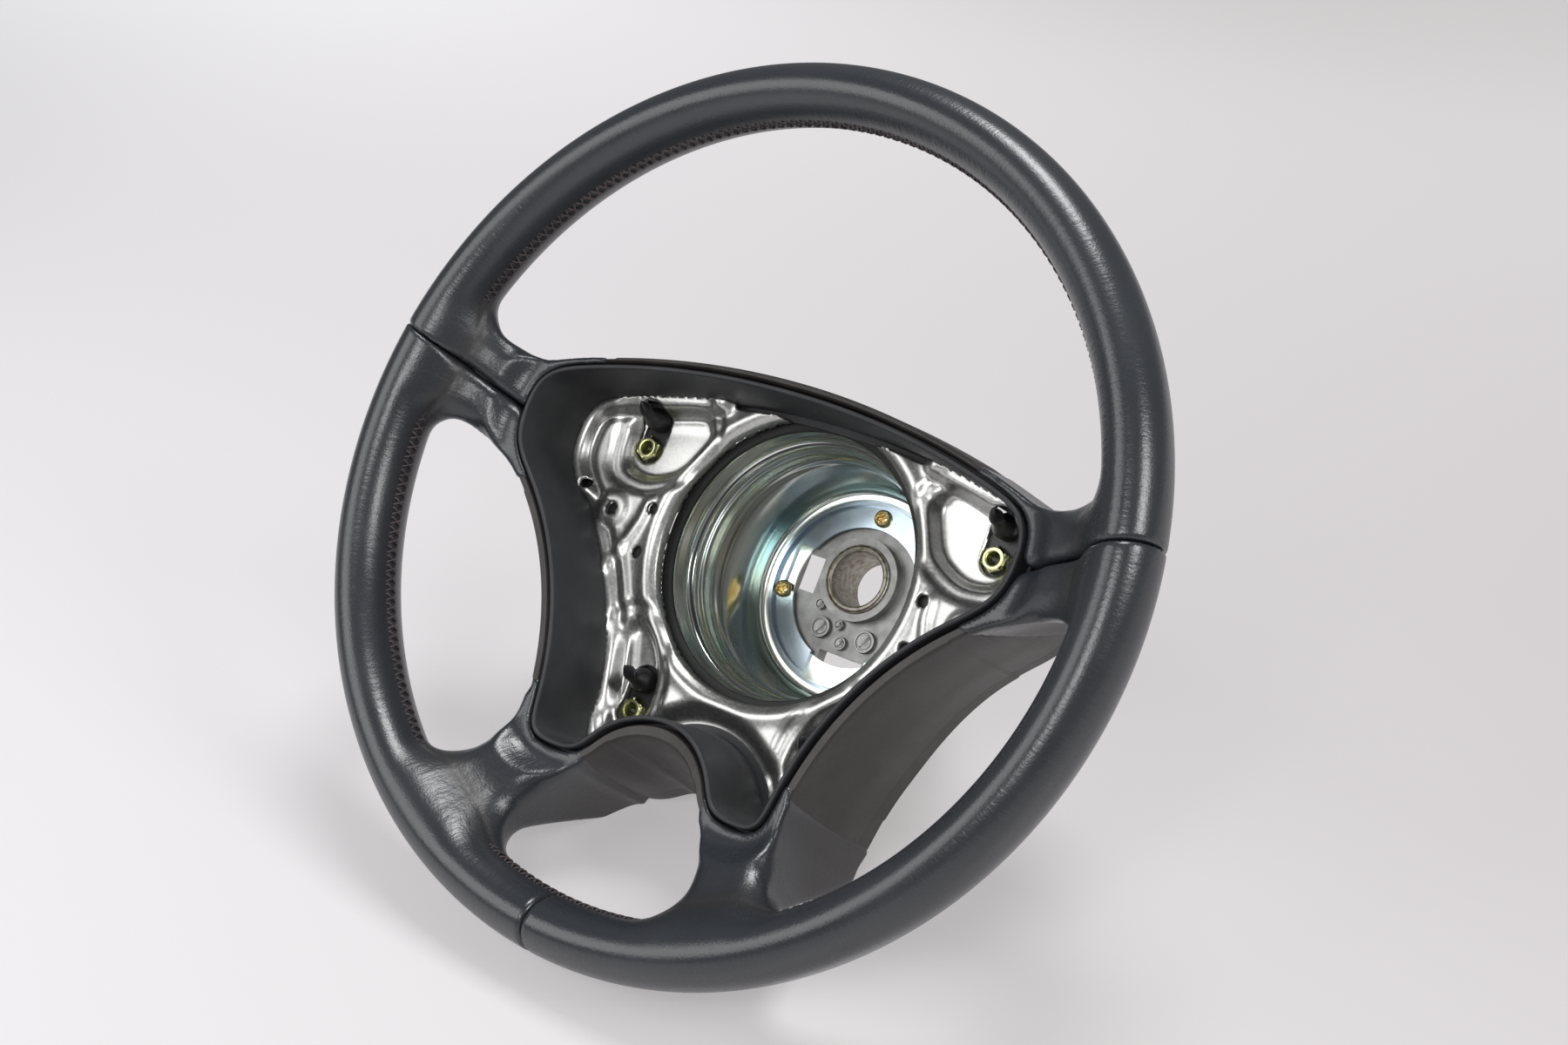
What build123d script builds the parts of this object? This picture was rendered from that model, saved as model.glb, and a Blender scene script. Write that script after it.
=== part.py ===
from build123d import *
import math
import os

# Car steering wheel without its airbag, in millimetres.
# +X points to 3 o'clock, +Z to 12 o'clock and +Y away from the driver.
# The origin is the centre of the column bore at the hub's rear face.
# A size named ..._y is a station measured rearwards from the rim's middle plane.

# Rim and its steel ring
rim_diameter = 385.0
rim_width = 25.0
rim_depth = 34.0
ring_bar_diameter = 12.0
padding_clearance = 0.3

# Seams that split the padding into three sections
seam_gap = 0.4
seam_rim_angle = 10.3
seam_slope_angle = 18.8

# Airbag cavity, half outline seen by the driver
cavity_half_width = 127.0
cavity_top_z = 57.8
shoulder_z = 35.5
elbow_z = 2.0
waist_x = 79.0
waist_z = -50.0
foot_outer_x = 61.0
foot_inner_x = 37.0
foot_z = -116.0
notch_z = -86.5
shoulder_radius = 14.0
elbow_radius = 14.0
foot_outer_radius = 10.0
foot_inner_radius = 8.0

# Liner and skirt, the two walls round the cavity
liner_wall = 2.2
liner_crown_y = 24.5
liner_side_y = 17.0
liner_rear_y = 70.0
ledge_width = 2.5
ledge_depth = 2.5
groove = 2.6
skirt_wall = 3.4
skirt_setback = 4.0
skirt_rear_y = 92.0
skirt_lip_depth = 12.0
skirt_lip_inset = 1.2

# Spokes: direction from the pot's centre, and widths from the cavity to the rim
upper_spoke_angle = 12.0
lower_spoke_angle = -64.3
upper_spoke_root_width = 50.0
upper_spoke_waist_width = 38.0
lower_spoke_root_width = 27.0
lower_spoke_waist_width = 25.5
spoke_neck_inset = 21.5
spoke_neck_width = 46.0
spoke_flare_width = 68.0
spoke_root_front_y = 19.0
spoke_root_rear_y = 86.0
spoke_waist_front_y = 8.0
upper_spoke_waist_rear_y = 66.5
lower_spoke_waist_rear_y = 68.0
spoke_neck_front_y = -2.0
spoke_neck_rear_y = 36.0
spoke_flare_front_y = -9.0
spoke_flare_rear_y = 13.5
spoke_roundness = 0.36

# Lobes, where the padding wraps the cavity's wall: angles seen from the pot's centre
upper_lobe_low_angle = 2.5
upper_lobe_high_angle = 28.0
lower_lobe_inner_angle = -71.0
lower_lobe_outer_angle = -53.5

# Spider: a steel ring on the pot and four arms that carry the rim
spider_thickness = 5.0
arm_width = 16.0
spider_rim_width = 7.0
arm_channel_clearance = 0.6
arm_bend_radius = 12.0
arm_rise_y = 74.8
arm_sleeve_clearance = 3.0
arm_knee_inset = 26.0
arm_knee_y = 20.0

# Carrier plate
plate_front_y = 63.0
plate_thickness = 2.0
plate_clearance = 0.3
pad_depth = 8.0
pad_corner_radius = 7.0
collar_depth = 8.0
hem_height = 5.0
hem_gap_half_width = 50.0
hem_bottom_z = -6.0
notch_relief = 9.0
rivet_hole_radius = 2.6
rivet_hole_points = ((73.5, -4.8), (95.5, -11.0), (113.0, -3.0), (73.3, -26.0))

# Impact pot
pot_centre_z = -7.7
pot_mouth_radius = 62.5
pot_wall = 1.5
pot_fit = 0.2
pot_mouth_y = 66.0
pot_shoulder_y = 85.0
pot_second_step_y = 103.0
pot_floor_y = 138.5
pot_step = 4.0
pot_base_radius = 52.0
pot_floor_width = 18.0
pot_slot_width = 8.0
pot_slot_depth = 6.0

# Hub casting, column bush and clamp ring
hub_setback = 158.5
bush_bore_diameter = 26.0
bush_length = 27.0
bush_wall = 3.0
bush_bead = 0.7
bush_bead_length = 1.6
boss_wall = 4.2
boss_inset = 1.6
web_thickness = 7.5
web_rib_thickness = 5.0
web_rib_height = 7.0
hub_fit = 0.05
ring_thickness = 1.6
ring_lip_height = 2.4
ring_width = 13.5
ring_window_margin = 2.5
side_window_width = 13.0
side_window_height = 18.0
side_window_inset = 15.5
side_window_z = -4.0
foot_window_width = 24.0
foot_window_height = 13.0
foot_window_x = 3.0
foot_window_inset = 10.2

# Clamp screws
screw_circle_inset = 13.5
screw_angle_step = 102.0
screw_radius = 2.0
screw_head_radius = 3.7
screw_head_height = 2.4
screw_length = 8.0
screw_clearance = 0.2

# Guide sleeves and peg insulators at the four corners
upper_sleeve_x = 94.0
upper_sleeve_z = 21.7
lower_sleeve_x = 48.3
lower_sleeve_z = -93.0
peg_rise = 14.0
sleeve_flats = 10.5
sleeve_head_height = 5.0
sleeve_shank_radius = 4.0
sleeve_shank_length = 10.0
sleeve_bore_radius = 2.3
insulator_thickness = 4.0
insulator_margin = 8.0
insulator_clearance = 0.2
cutout_margin = 7.0
peg_radius = 5.5
peg_neck_radius = 4.4
peg_tip_radius = 1.4
peg_reach = 21.0
peg_neck_reach = 12.0

# Sizes that follow from the ones above
rim_radius = rim_diameter / 2 - rim_width / 2
plate_rear_y = plate_front_y + plate_thickness
pad_front_y = plate_front_y + pad_depth
pad_rear_y = pad_front_y + plate_thickness
skirt_inner_offset = liner_wall + groove
skirt_outer_offset = skirt_inner_offset + skirt_wall
bush_radius = bush_bore_diameter / 2 + bush_wall
boss_radius = bush_radius + boss_wall
bush_front_y = hub_setback - bush_length
clamp_ring_rear_y = pot_floor_y - pot_wall
clamp_ring_front_y = clamp_ring_rear_y - ring_thickness
spider_ring_radius = pot_mouth_radius + spider_rim_width
screw_circle_radius = pot_base_radius - screw_circle_inset
side_window_x = side_window_inset + side_window_width / 2 - pot_base_radius
foot_window_z = pot_centre_z + foot_window_inset + foot_window_height / 2 - pot_base_radius
notch_rise = notch_z - foot_z
notch_radius = (foot_inner_x**2 + notch_rise**2) / (2 * notch_rise)
notch_centre_z = notch_z - notch_radius
pot_centre = (0, pot_centre_z)
far = rim_diameter


def station(y):
    """Plane across the wheel at a station behind the rim's middle plane, facing the driver."""
    return Plane((0, y - hub_setback, 0), x_dir=(1, 0, 0), z_dir=(0, -1, 0))


def slab(face, front_y, rear_y):
    """Solid with a flat outline between two stations."""
    return extrude(station(front_y) * face, amount=front_y - rear_y)


def turned(points, centre_x=0.0, centre_z=0.0):
    """Solid of revolution about an axis parallel to the column, from (radius, station) points."""
    sheet = Plane((centre_x, -hub_setback, centre_z), x_dir=(1, 0, 0), z_dir=(0, 0, 1))
    axis = Axis((centre_x, 0, centre_z), (0, 1, 0))
    return revolve(sheet * make_face(Polyline(*points, close=True)), axis)


def mirrored(point):
    """The same point on the other side of the wheel."""
    return (-point[0], point[1])


def rounded(face, point, radius):
    """Rounds the corner at a point and at its mirror image."""
    for x, z in (point, mirrored(point)):
        corner = face.vertices().sort_by_distance((x, z, 0))[0]
        face = fillet(corner, radius)
    return face


def cavity_outline():
    """Four-lobed opening of the airbag cavity: flat arch on top, hollow sides and a notch below."""
    shoulder = (cavity_half_width, shoulder_z)
    elbow = (cavity_half_width, elbow_z)
    waist = (waist_x, waist_z)
    foot_outer = (foot_outer_x, foot_z)
    foot_inner = (foot_inner_x, foot_z)
    edges = [
        ThreePointArc(mirrored(shoulder), (0, cavity_top_z), shoulder),
        Line(shoulder, elbow),
        ThreePointArc(elbow, waist, foot_outer),
        Line(foot_outer, foot_inner),
        ThreePointArc(foot_inner, (0, notch_z), mirrored(foot_inner)),
        Line(mirrored(foot_inner), mirrored(foot_outer)),
        ThreePointArc(mirrored(foot_outer), mirrored(waist), mirrored(elbow)),
        Line(mirrored(elbow), mirrored(shoulder)),
    ]
    face = make_face(edges)
    face = rounded(face, shoulder, shoulder_radius)
    face = rounded(face, elbow, elbow_radius)
    face = rounded(face, foot_outer, foot_outer_radius)
    return rounded(face, foot_inner, foot_inner_radius)


outline = cavity_outline()


def behind_crown(setback):
    """Space behind the cavity's front edge, which lies deepest in the middle of the wheel."""
    side = liner_side_y + setback - hub_setback
    middle = liner_crown_y + setback - hub_setback
    drop = (middle - side) * (far / cavity_half_width) ** 2
    arch = ThreePointArc((-far, middle - drop), (0, middle), (far, middle - drop))
    box = Polyline((far, middle - drop), (far, far), (-far, far), (-far, middle - drop))
    return extrude(Plane.XY * make_face([arch, *box.edges()]), amount=far, both=True)


def spoke_direction(side, angle):
    """Unit direction of a spoke in the driver's view; side is 1 on the right and -1 on the left."""
    return side * math.cos(math.radians(angle)), math.sin(math.radians(angle))


def spoke_reach(angle):
    """Distance from the pot's centre to the cavity wall along a spoke."""
    if angle > 0:
        return cavity_half_width / math.cos(math.radians(angle))
    return (foot_z - pot_centre_z) / math.sin(math.radians(angle))


def ring_distance(angle):
    """Distance from the pot's centre to the steel ring along a spoke."""
    along = pot_centre_z * math.sin(math.radians(angle))
    return -along + math.sqrt(along**2 - pot_centre_z**2 + rim_radius**2)


def spoke_section_plane(side, angle, distance, y):
    """Plane square to a spoke, at a distance from the pot's centre."""
    dx, dz = spoke_direction(side, angle)
    origin = (distance * dx, y - hub_setback, pot_centre_z + distance * dz)
    return Plane(origin, x_dir=(-dz, 0, dx), z_dir=(dx, 0, dz))


def spoke_side_plane(side, angle):
    """Plane along a spoke and the column, where x is distance from the pot's centre and y the station."""
    dx, dz = spoke_direction(side, angle)
    return Plane((0, -hub_setback, pot_centre_z), x_dir=(dx, 0, dz), z_dir=(-dz, 0, dx))


def spoke_body(side, angle):
    """Whole spoke from the cavity to the rim: deep at the hub, slim in the middle, flared at the rim."""
    reach = spoke_reach(angle)
    ring = ring_distance(angle)
    root_width, waist_width = lower_spoke_root_width, lower_spoke_waist_width
    waist_rear_y = lower_spoke_waist_rear_y
    if angle > 0:
        root_width, waist_width = upper_spoke_root_width, upper_spoke_waist_width
        waist_rear_y = upper_spoke_waist_rear_y
    neck = ring - spoke_neck_inset
    sections = [
        (reach, root_width, spoke_root_front_y, spoke_root_rear_y),
        ((reach + neck) / 2, waist_width, spoke_waist_front_y, waist_rear_y),
        (neck, spoke_neck_width, spoke_neck_front_y, spoke_neck_rear_y),
        (ring, spoke_flare_width, spoke_flare_front_y, spoke_flare_rear_y),
    ]
    faces = []
    for distance, width, front_y, rear_y in sections:
        depth = rear_y - front_y
        plane = spoke_section_plane(side, angle, distance, (front_y + rear_y) / 2)
        faces.append(plane * RectangleRounded(width, depth, min(width, depth) * spoke_roundness))
    return loft(faces)


def lobe_face(side, angle, extra):
    """Wedge from the pot's centre that holds the lobe at a spoke's root, wider by a clearance."""
    low, high = lower_lobe_inner_angle, lower_lobe_outer_angle
    if angle > 0:
        low, high = upper_lobe_low_angle, upper_lobe_high_angle
    corners = [pot_centre]
    for turn in (low, (low + high) / 2, high):
        dx, dz = spoke_direction(side, turn)
        corners.append((far * dx, pot_centre_z + far * dz))
    return offset(make_face(Polyline(*corners, close=True)), extra)


def rise_start(angle):
    """Distance from the pot's centre at which an arm has passed the guide sleeve in front of it."""
    x, z = lower_sleeve_x, lower_sleeve_z
    if angle > 0:
        x, z = upper_sleeve_x, upper_sleeve_z
    dx, dz = spoke_direction(1, angle)
    return x * dx + (z - pot_centre_z) * dz + sleeve_shank_radius + arm_sleeve_clearance


def spider_arm(side, angle, extra):
    """One bent arm of the spider: flat behind the plate, out under the liner, then up to the ring."""
    ring = ring_distance(angle)
    flat_y = pot_shoulder_y + spider_thickness / 2
    inner = pot_mouth_radius + spider_rim_width / 2
    bend = (spoke_reach(angle) + skirt_inner_offset, arm_rise_y)
    knee = (ring - arm_knee_inset, arm_knee_y)
    points = [(inner, flat_y), (rise_start(angle), flat_y), bend, knee, (ring, 0)]
    path = FilletPolyline(*points, radius=arm_bend_radius)
    strip = trace(path, spider_thickness + 2 * extra)
    return extrude(spoke_side_plane(side, angle) * strip, amount=arm_width / 2 + extra, both=True)


def each_spoke():
    """Side and angle of each of the four spokes."""
    return [(side, angle) for side in (-1, 1) for angle in (upper_spoke_angle, lower_spoke_angle)]


def ring_torus(extra):
    """The steel ring inside the rim, or the room for it."""
    return Pos(0, -hub_setback, 0) * Rot(90, 0, 0) * Torus(rim_radius, ring_bar_diameter / 2 + extra)


def rim_tube(extra):
    """The rim's oval tube all the way round."""
    sheet = Plane((0, -hub_setback, 0), x_dir=(1, 0, 0), z_dir=(0, 0, 1))
    section = Pos(rim_radius, 0) * Ellipse(rim_width / 2 + extra, rim_depth / 2 + extra)
    return revolve(sheet * section, Axis.Y)


def padding():
    """Leather-covered padding of the rim, spokes and lobes, before the seams split it."""
    body = rim_tube(0)
    core = offset(outline, skirt_inner_offset)
    wall = offset(outline, skirt_outer_offset)
    beside = offset(outline, skirt_outer_offset + padding_clearance)
    lobe_rear_y = skirt_rear_y - skirt_lip_depth - padding_clearance
    for side, angle in each_spoke():
        lobe = lobe_face(side, angle, 0)
        body += slab((wall - core) & lobe, -far / 4, lobe_rear_y) & behind_crown(skirt_setback)
        arm = spoke_body(side, angle) - slab(beside, lobe_rear_y, far / 2)
        body += arm - slab(core + (beside - lobe), -far / 4, far / 2)
    for side, angle in each_spoke():
        body -= spider_arm(side, angle, arm_channel_clearance)
    return body - ring_torus(padding_clearance)


def seam_regions():
    """Outlines of the three padding sections: above the spoke seams, and below them on each side."""
    slope = math.tan(math.radians(seam_slope_angle))
    rim_x = rim_radius * math.cos(math.radians(seam_rim_angle))
    rim_z = rim_radius * math.sin(math.radians(seam_rim_angle))
    low = rim_z - slope * rim_x
    half = seam_gap / 2
    side_z = low + slope * far
    top = [(0, low + half), (far, side_z + half), (far, far), (-far, far), (-far, side_z + half)]
    right = [(half, low - half), (far, side_z - half), (far, -far), (half, -far)]
    left = [mirrored(point) for point in right]
    regions = {"grip_top": top, "grip_lower_left": left, "grip_lower_right": right}
    return {name: make_face(Polyline(*points, close=True)) for name, points in regions.items()}


def grips():
    """The three leather-covered sections of the rim, each with its share of the spokes."""
    body = padding()
    sections = {}
    for name, face in seam_regions().items():
        sections[name] = body & slab(face, -far / 4, far / 4)
    return sections


def cavity_liner():
    """Thin inner wall of the cavity, with a ledge that the carrier plate rests on."""
    wall = slab(offset(outline, liner_wall) - outline, -far / 4, liner_rear_y) & behind_crown(0)
    ledge = outline - offset(outline, -ledge_width)
    ledge -= Pos(*pot_centre) * Circle(pot_mouth_radius + plate_thickness + plate_clearance)
    return wall + slab(ledge, plate_rear_y, plate_rear_y + ledge_depth)


def rear_skirt():
    """Outer wall round the hub between the lobes, on a stepped rear lip that runs all the way round."""
    lip_y = skirt_rear_y - skirt_lip_depth
    inner = offset(outline, skirt_inner_offset)
    wall = offset(outline, skirt_outer_offset) - inner
    for side, angle in each_spoke():
        wall -= lobe_face(side, angle, padding_clearance)
    body = slab(wall, -far / 4, lip_y) & behind_crown(skirt_setback)
    body += slab(offset(outline, skirt_outer_offset - skirt_lip_inset) - inner, lip_y, skirt_rear_y)
    for side, angle in each_spoke():
        body -= spider_arm(side, angle, arm_channel_clearance)
    ring_room = spider_ring_radius + arm_channel_clearance
    return body - slab(Pos(*pot_centre) * Circle(ring_room), pot_shoulder_y - arm_channel_clearance, far)


def spider_ring():
    """Flat steel ring on the pot's shoulder, which the four arms are welded to."""
    inner = pot_mouth_radius - pot_step
    rear_y = pot_shoulder_y + spider_thickness
    section = [
        (inner, pot_shoulder_y),
        (spider_ring_radius, pot_shoulder_y),
        (spider_ring_radius, rear_y),
        (inner, rear_y),
    ]
    return turned(section, centre_z=pot_centre_z)


def welded_arm(side, angle):
    """One arm between the spider's ring and the rim's ring, cut to fit both."""
    room = slab(Pos(*pot_centre) * Circle(spider_ring_radius), 0, skirt_rear_y)
    return spider_arm(side, angle, 0) - room - ring_torus(0)


def corner_points():
    """Sleeve and peg positions of the four corners, by name."""
    upper = (upper_sleeve_x, upper_sleeve_z, peg_rise)
    lower = (lower_sleeve_x, lower_sleeve_z, peg_rise)
    rows = {}
    for name, (x, z, rise) in {"upper": upper, "lower": lower}.items():
        rows[name + "_right"] = ((x, z), (x, z + rise))
        rows[name + "_left"] = ((-x, z), (-x, z + rise))
    return rows


def oblong(sleeve, peg, margin):
    """Slot outline round a sleeve and its peg."""
    ends = Pos(*sleeve) * Circle(margin) + Pos(*peg) * Circle(margin)
    return make_hull(ends.edges())


def pad_faces():
    """Sunk pads of the carrier plate: two large upper ones and two lower ones in the legs."""
    inside = offset(outline, -(ledge_width + plate_clearance + plate_thickness))
    inside -= Pos(0, notch_centre_z) * Circle(notch_radius + notch_relief + 2 * plate_thickness)
    upper = [(105, 5), (108, 37), (64, 49), (54, 37), (66.5, 12), (84, 3)]
    lower = [(71, -56), (60, -48), (44.5, -59), (36, -76), (34, -100), (56, -104), (64, -86)]
    faces = []
    for points in (upper, lower):
        for row in (points, [mirrored(point) for point in points]):
            face = make_face(Polyline(*row, close=True))
            faces.append(fillet(face.vertices(), pad_corner_radius) & inside)
    return faces


def carrier_plate():
    """Stamped sheet across the cavity: sunk pads, a collar round the pot, a hem and fixing holes."""
    sheet = offset(outline, -plate_clearance)
    relief = Pos(0, notch_centre_z) * Circle(notch_radius + notch_relief)
    plate = slab(sheet, plate_front_y, plate_rear_y)
    hem = slab(sheet - offset(sheet, -plate_thickness), plate_front_y - hem_height, plate_front_y)
    hem_side = (far - hem_gap_half_width) / 2
    for side in (-1, 1):
        centre = Pos(side * (hem_gap_half_width + hem_side), hem_bottom_z + far / 2)
        block = centre * Rectangle(2 * hem_side, far)
        plate += hem & slab(block, 0, plate_front_y)
    for pad in pad_faces():
        plate += slab(offset(pad, plate_thickness), plate_front_y, pad_rear_y)
        plate -= slab(pad, plate_front_y - hem_height, pad_front_y)
    collar = pot_mouth_radius + plate_thickness
    plate += slab(Pos(*pot_centre) * Circle(collar), plate_front_y, plate_front_y + collar_depth)
    plate -= slab(Pos(*pot_centre) * Circle(pot_mouth_radius), 0, skirt_rear_y)
    plate -= slab(relief, 0, plate_rear_y)
    for sleeve, peg in corner_points().values():
        plate -= slab(oblong(sleeve, peg, cutout_margin), 0, skirt_rear_y)
    for x, z in rivet_hole_points:
        for side in (-1, 1):
            plate -= slab(Pos(side * x, z) * Circle(rivet_hole_radius), 0, plate_rear_y)
    return plate


def impact_pot():
    """Deep-drawn can with two steps, an open mouth in the plate's collar and a flange at its base."""
    mouth = pot_mouth_radius - pot_fit
    neck = mouth - pot_step
    throat = neck - pot_step / 2
    points = [
        (mouth, pot_mouth_y),
        (mouth, pot_shoulder_y),
        (neck, pot_shoulder_y),
        (neck, pot_second_step_y),
        (throat, pot_second_step_y + pot_step),
        (pot_base_radius, pot_floor_y - pot_step),
        (pot_base_radius - pot_step, pot_floor_y),
        (pot_base_radius - pot_floor_width, pot_floor_y),
        (pot_base_radius - pot_floor_width, pot_floor_y - pot_wall),
        (pot_base_radius - pot_step - pot_wall / 2, pot_floor_y - pot_wall),
        (pot_base_radius - pot_wall, pot_floor_y - pot_step - pot_wall / 2),
        (throat - pot_wall, pot_second_step_y + pot_step),
        (neck - pot_wall, pot_second_step_y),
        (neck - pot_wall, pot_shoulder_y - pot_wall),
        (mouth - pot_wall, pot_shoulder_y - pot_wall),
        (mouth - pot_wall, pot_mouth_y),
    ]
    pot = turned(points, centre_z=pot_centre_z)
    for angle in (-125.0, -55.0):
        plane = station(pot_mouth_y) * Pos(*pot_centre) * Rot(0, 0, angle)
        slot = plane * Pos(mouth, 0) * Rectangle(4 * pot_wall, pot_slot_width)
        pot -= extrude(slot, amount=pot_slot_depth, both=True)
    for window in window_faces(ring_window_margin):
        pot -= slab(window, pot_floor_y - 2 * pot_wall, pot_floor_y + pot_wall)
    return pot - screw_holes(screw_radius + screw_clearance)


def window_faces(margin):
    """The two see-through windows beside and below the bush."""
    grow = 2 * margin
    side = Rectangle(side_window_width + grow, side_window_height + grow)
    foot = Rectangle(foot_window_width + grow, foot_window_height + grow)
    return [Pos(side_window_x, side_window_z) * side, Pos(foot_window_x, foot_window_z) * foot]


def screw_points():
    """Clamp screws on a circle round the pot's centre: one on top and one low on each side."""
    rows = []
    for angle in (90.0, 90.0 + screw_angle_step, 90.0 - screw_angle_step):
        turn = math.radians(angle)
        x = screw_circle_radius * math.cos(turn)
        rows.append((x, pot_centre_z + screw_circle_radius * math.sin(turn)))
    return rows


def screw_holes(radius):
    """Bores for the clamp screws, as deep as the screws reach."""
    depth_y = clamp_ring_front_y + screw_length + screw_clearance
    front_y = clamp_ring_front_y - ring_lip_height
    return [slab(Pos(*point) * Circle(radius), front_y, depth_y) for point in screw_points()]


def clamp_ring():
    """Stepped ring that clamps the pot's floor to the hub casting."""
    outer = pot_base_radius - pot_step - pot_wall
    inner = outer - ring_width
    lip_front = clamp_ring_front_y - ring_lip_height
    points = [
        (inner, clamp_ring_front_y),
        (outer - 2 * ring_thickness, clamp_ring_front_y),
        (outer - 2 * ring_thickness, lip_front),
        (outer - ring_thickness, lip_front),
        (outer - ring_thickness, clamp_ring_front_y),
        (outer, clamp_ring_front_y),
        (outer, clamp_ring_rear_y),
        (inner, clamp_ring_rear_y),
    ]
    ring = turned(points, centre_z=pot_centre_z)
    for window in window_faces(ring_window_margin):
        ring -= slab(window, lip_front - ring_thickness, pot_floor_y)
    return ring - screw_holes(screw_radius + screw_clearance)


def hub_casting():
    """Die-cast hub: a web behind the pot's floor, a boss round the bush, windows and rear ribs."""
    web_rear_y = pot_floor_y + web_thickness
    web_radius = pot_base_radius - pot_step
    hub = slab(Pos(*pot_centre) * Circle(web_radius), pot_floor_y, web_rear_y)
    for turn in range(6):
        rib = Rot(0, 0, 30 + 60 * turn) * Pos(web_radius / 2, 0) * Rectangle(web_radius, web_rib_thickness)
        rib = rib & (Pos(*pot_centre) * Circle(web_radius))
        hub += slab(rib, web_rear_y, web_rear_y + web_rib_height)
    for window in window_faces(0):
        hub -= slab(window, pot_floor_y - pot_wall, hub_setback)
    hub += slab(Circle(boss_radius), bush_front_y + boss_inset, hub_setback - boss_inset)
    hub -= slab(Circle(bush_radius + hub_fit), bush_front_y - boss_inset, hub_setback + boss_inset)
    return hub - screw_holes(screw_radius + hub_fit)


def column_bush():
    """Steel bush with the column bore, pressed into the boss, with a beaded front edge."""
    bore = bush_bore_diameter / 2
    bead_end = bush_front_y + bush_bead_length
    points = [
        (bore, bush_front_y),
        (bush_radius + bush_bead, bush_front_y),
        (bush_radius + bush_bead, bead_end),
        (bush_radius, bead_end),
        (bush_radius, hub_setback),
        (bore, hub_setback),
    ]
    return turned(points)


def clamp_screws():
    """Three pan-head screws that hold the clamp ring."""
    screws = []
    for x, z in screw_points():
        head = [(0, clamp_ring_front_y - screw_head_height),
                (screw_head_radius * 0.7, clamp_ring_front_y - screw_head_height),
                (screw_head_radius, clamp_ring_front_y - screw_head_height * 0.5),
                (screw_head_radius, clamp_ring_front_y),
                (screw_radius, clamp_ring_front_y),
                (screw_radius, clamp_ring_front_y + screw_length),
                (0, clamp_ring_front_y + screw_length)]
        screws.append(turned(head, x, z))
    return Compound(children=screws)


def guide_sleeve(sleeve):
    """Hollow hexagon sleeve that guides an airbag screw, seated on its insulator."""
    head_rear = pad_rear_y
    hexagon = RegularPolygon(sleeve_flats / 2, 6, major_radius=False)
    body = slab(Pos(*sleeve) * hexagon, head_rear - sleeve_head_height, head_rear)
    body += slab(Pos(*sleeve) * Circle(sleeve_shank_radius), head_rear, head_rear + sleeve_shank_length)
    return body - slab(Pos(*sleeve) * Circle(sleeve_bore_radius), 0, skirt_rear_y)


def peg_insulator(sleeve, peg):
    """Moulded insulator behind a pad: an oblong foot with a pointed peg towards the driver."""
    rear_y = pad_rear_y + insulator_thickness
    body = slab(oblong(sleeve, peg, insulator_margin), pad_rear_y, rear_y)
    points = [
        (0, pad_rear_y - peg_reach),
        (peg_tip_radius, pad_rear_y - peg_reach + peg_tip_radius),
        (peg_neck_radius, pad_rear_y - peg_neck_reach),
        (peg_radius, rear_y),
        (0, rear_y),
    ]
    body += turned(points, peg[0], peg[1])
    hole = sleeve_shank_radius + insulator_clearance
    return body - slab(Pos(*sleeve) * Circle(hole), 0, skirt_rear_y)


def pieces():
    """Every piece of the wheel by name."""
    rows = {"rim_ring": ring_torus(0), "spider_ring": spider_ring()}
    for side, hand in ((-1, "left"), (1, "right")):
        rows["spider_arm_upper_" + hand] = welded_arm(side, upper_spoke_angle)
        rows["spider_arm_lower_" + hand] = welded_arm(side, lower_spoke_angle)
    rows.update(grips())
    rows["cavity_liner"] = cavity_liner()
    rows["rear_skirt"] = rear_skirt()
    rows["carrier_plate"] = carrier_plate()
    rows["impact_pot"] = impact_pot()
    rows["clamp_ring"] = clamp_ring()
    rows["hub_casting"] = hub_casting()
    rows["column_bush"] = column_bush()
    rows["clamp_screws"] = clamp_screws()
    for name, (sleeve, peg) in corner_points().items():
        rows["guide_sleeve_" + name] = guide_sleeve(sleeve)
        rows["peg_insulator_" + name] = peg_insulator(sleeve, peg)
    return rows


os.makedirs("parts", exist_ok=True)
for node, solid in pieces().items():
    export_step(solid, f"parts/{node}.step")
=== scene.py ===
"""Dressed model of a car steering wheel with an open airbag cavity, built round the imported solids.

Sizes are in millimetres. A point is (x, station, z): x to 3 o'clock, z to 12 o'clock, and the station is
the distance behind the rim's middle plane. A field is negative inside its shape.
"""
import logging
import math
from collections.abc import Callable
from dataclasses import dataclass, field
from enum import Enum

import bpy
import numpy as np
from mathutils import Matrix, Vector
from numpy.typing import NDArray


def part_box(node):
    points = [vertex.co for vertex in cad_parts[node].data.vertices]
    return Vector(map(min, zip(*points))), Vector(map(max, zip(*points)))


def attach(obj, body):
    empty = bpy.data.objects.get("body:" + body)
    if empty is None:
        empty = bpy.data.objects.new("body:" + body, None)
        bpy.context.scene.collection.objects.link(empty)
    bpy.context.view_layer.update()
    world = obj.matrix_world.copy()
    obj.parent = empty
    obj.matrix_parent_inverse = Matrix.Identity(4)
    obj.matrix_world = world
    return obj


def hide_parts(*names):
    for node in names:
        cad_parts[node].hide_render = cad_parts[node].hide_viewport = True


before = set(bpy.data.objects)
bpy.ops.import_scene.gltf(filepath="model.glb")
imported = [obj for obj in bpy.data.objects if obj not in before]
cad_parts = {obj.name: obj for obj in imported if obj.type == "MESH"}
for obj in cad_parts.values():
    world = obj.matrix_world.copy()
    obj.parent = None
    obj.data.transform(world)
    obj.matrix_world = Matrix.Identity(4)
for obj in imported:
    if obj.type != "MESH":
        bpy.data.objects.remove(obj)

Array = NDArray[np.float64]
Field = Callable[[Array], Array]
Shape = tuple[Array, list[Array]]
Pair = tuple[float, float]
Triple = tuple[float, float, float]
Link = "Wire | float | tuple[float, ...]"

MM = 0.001
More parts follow.
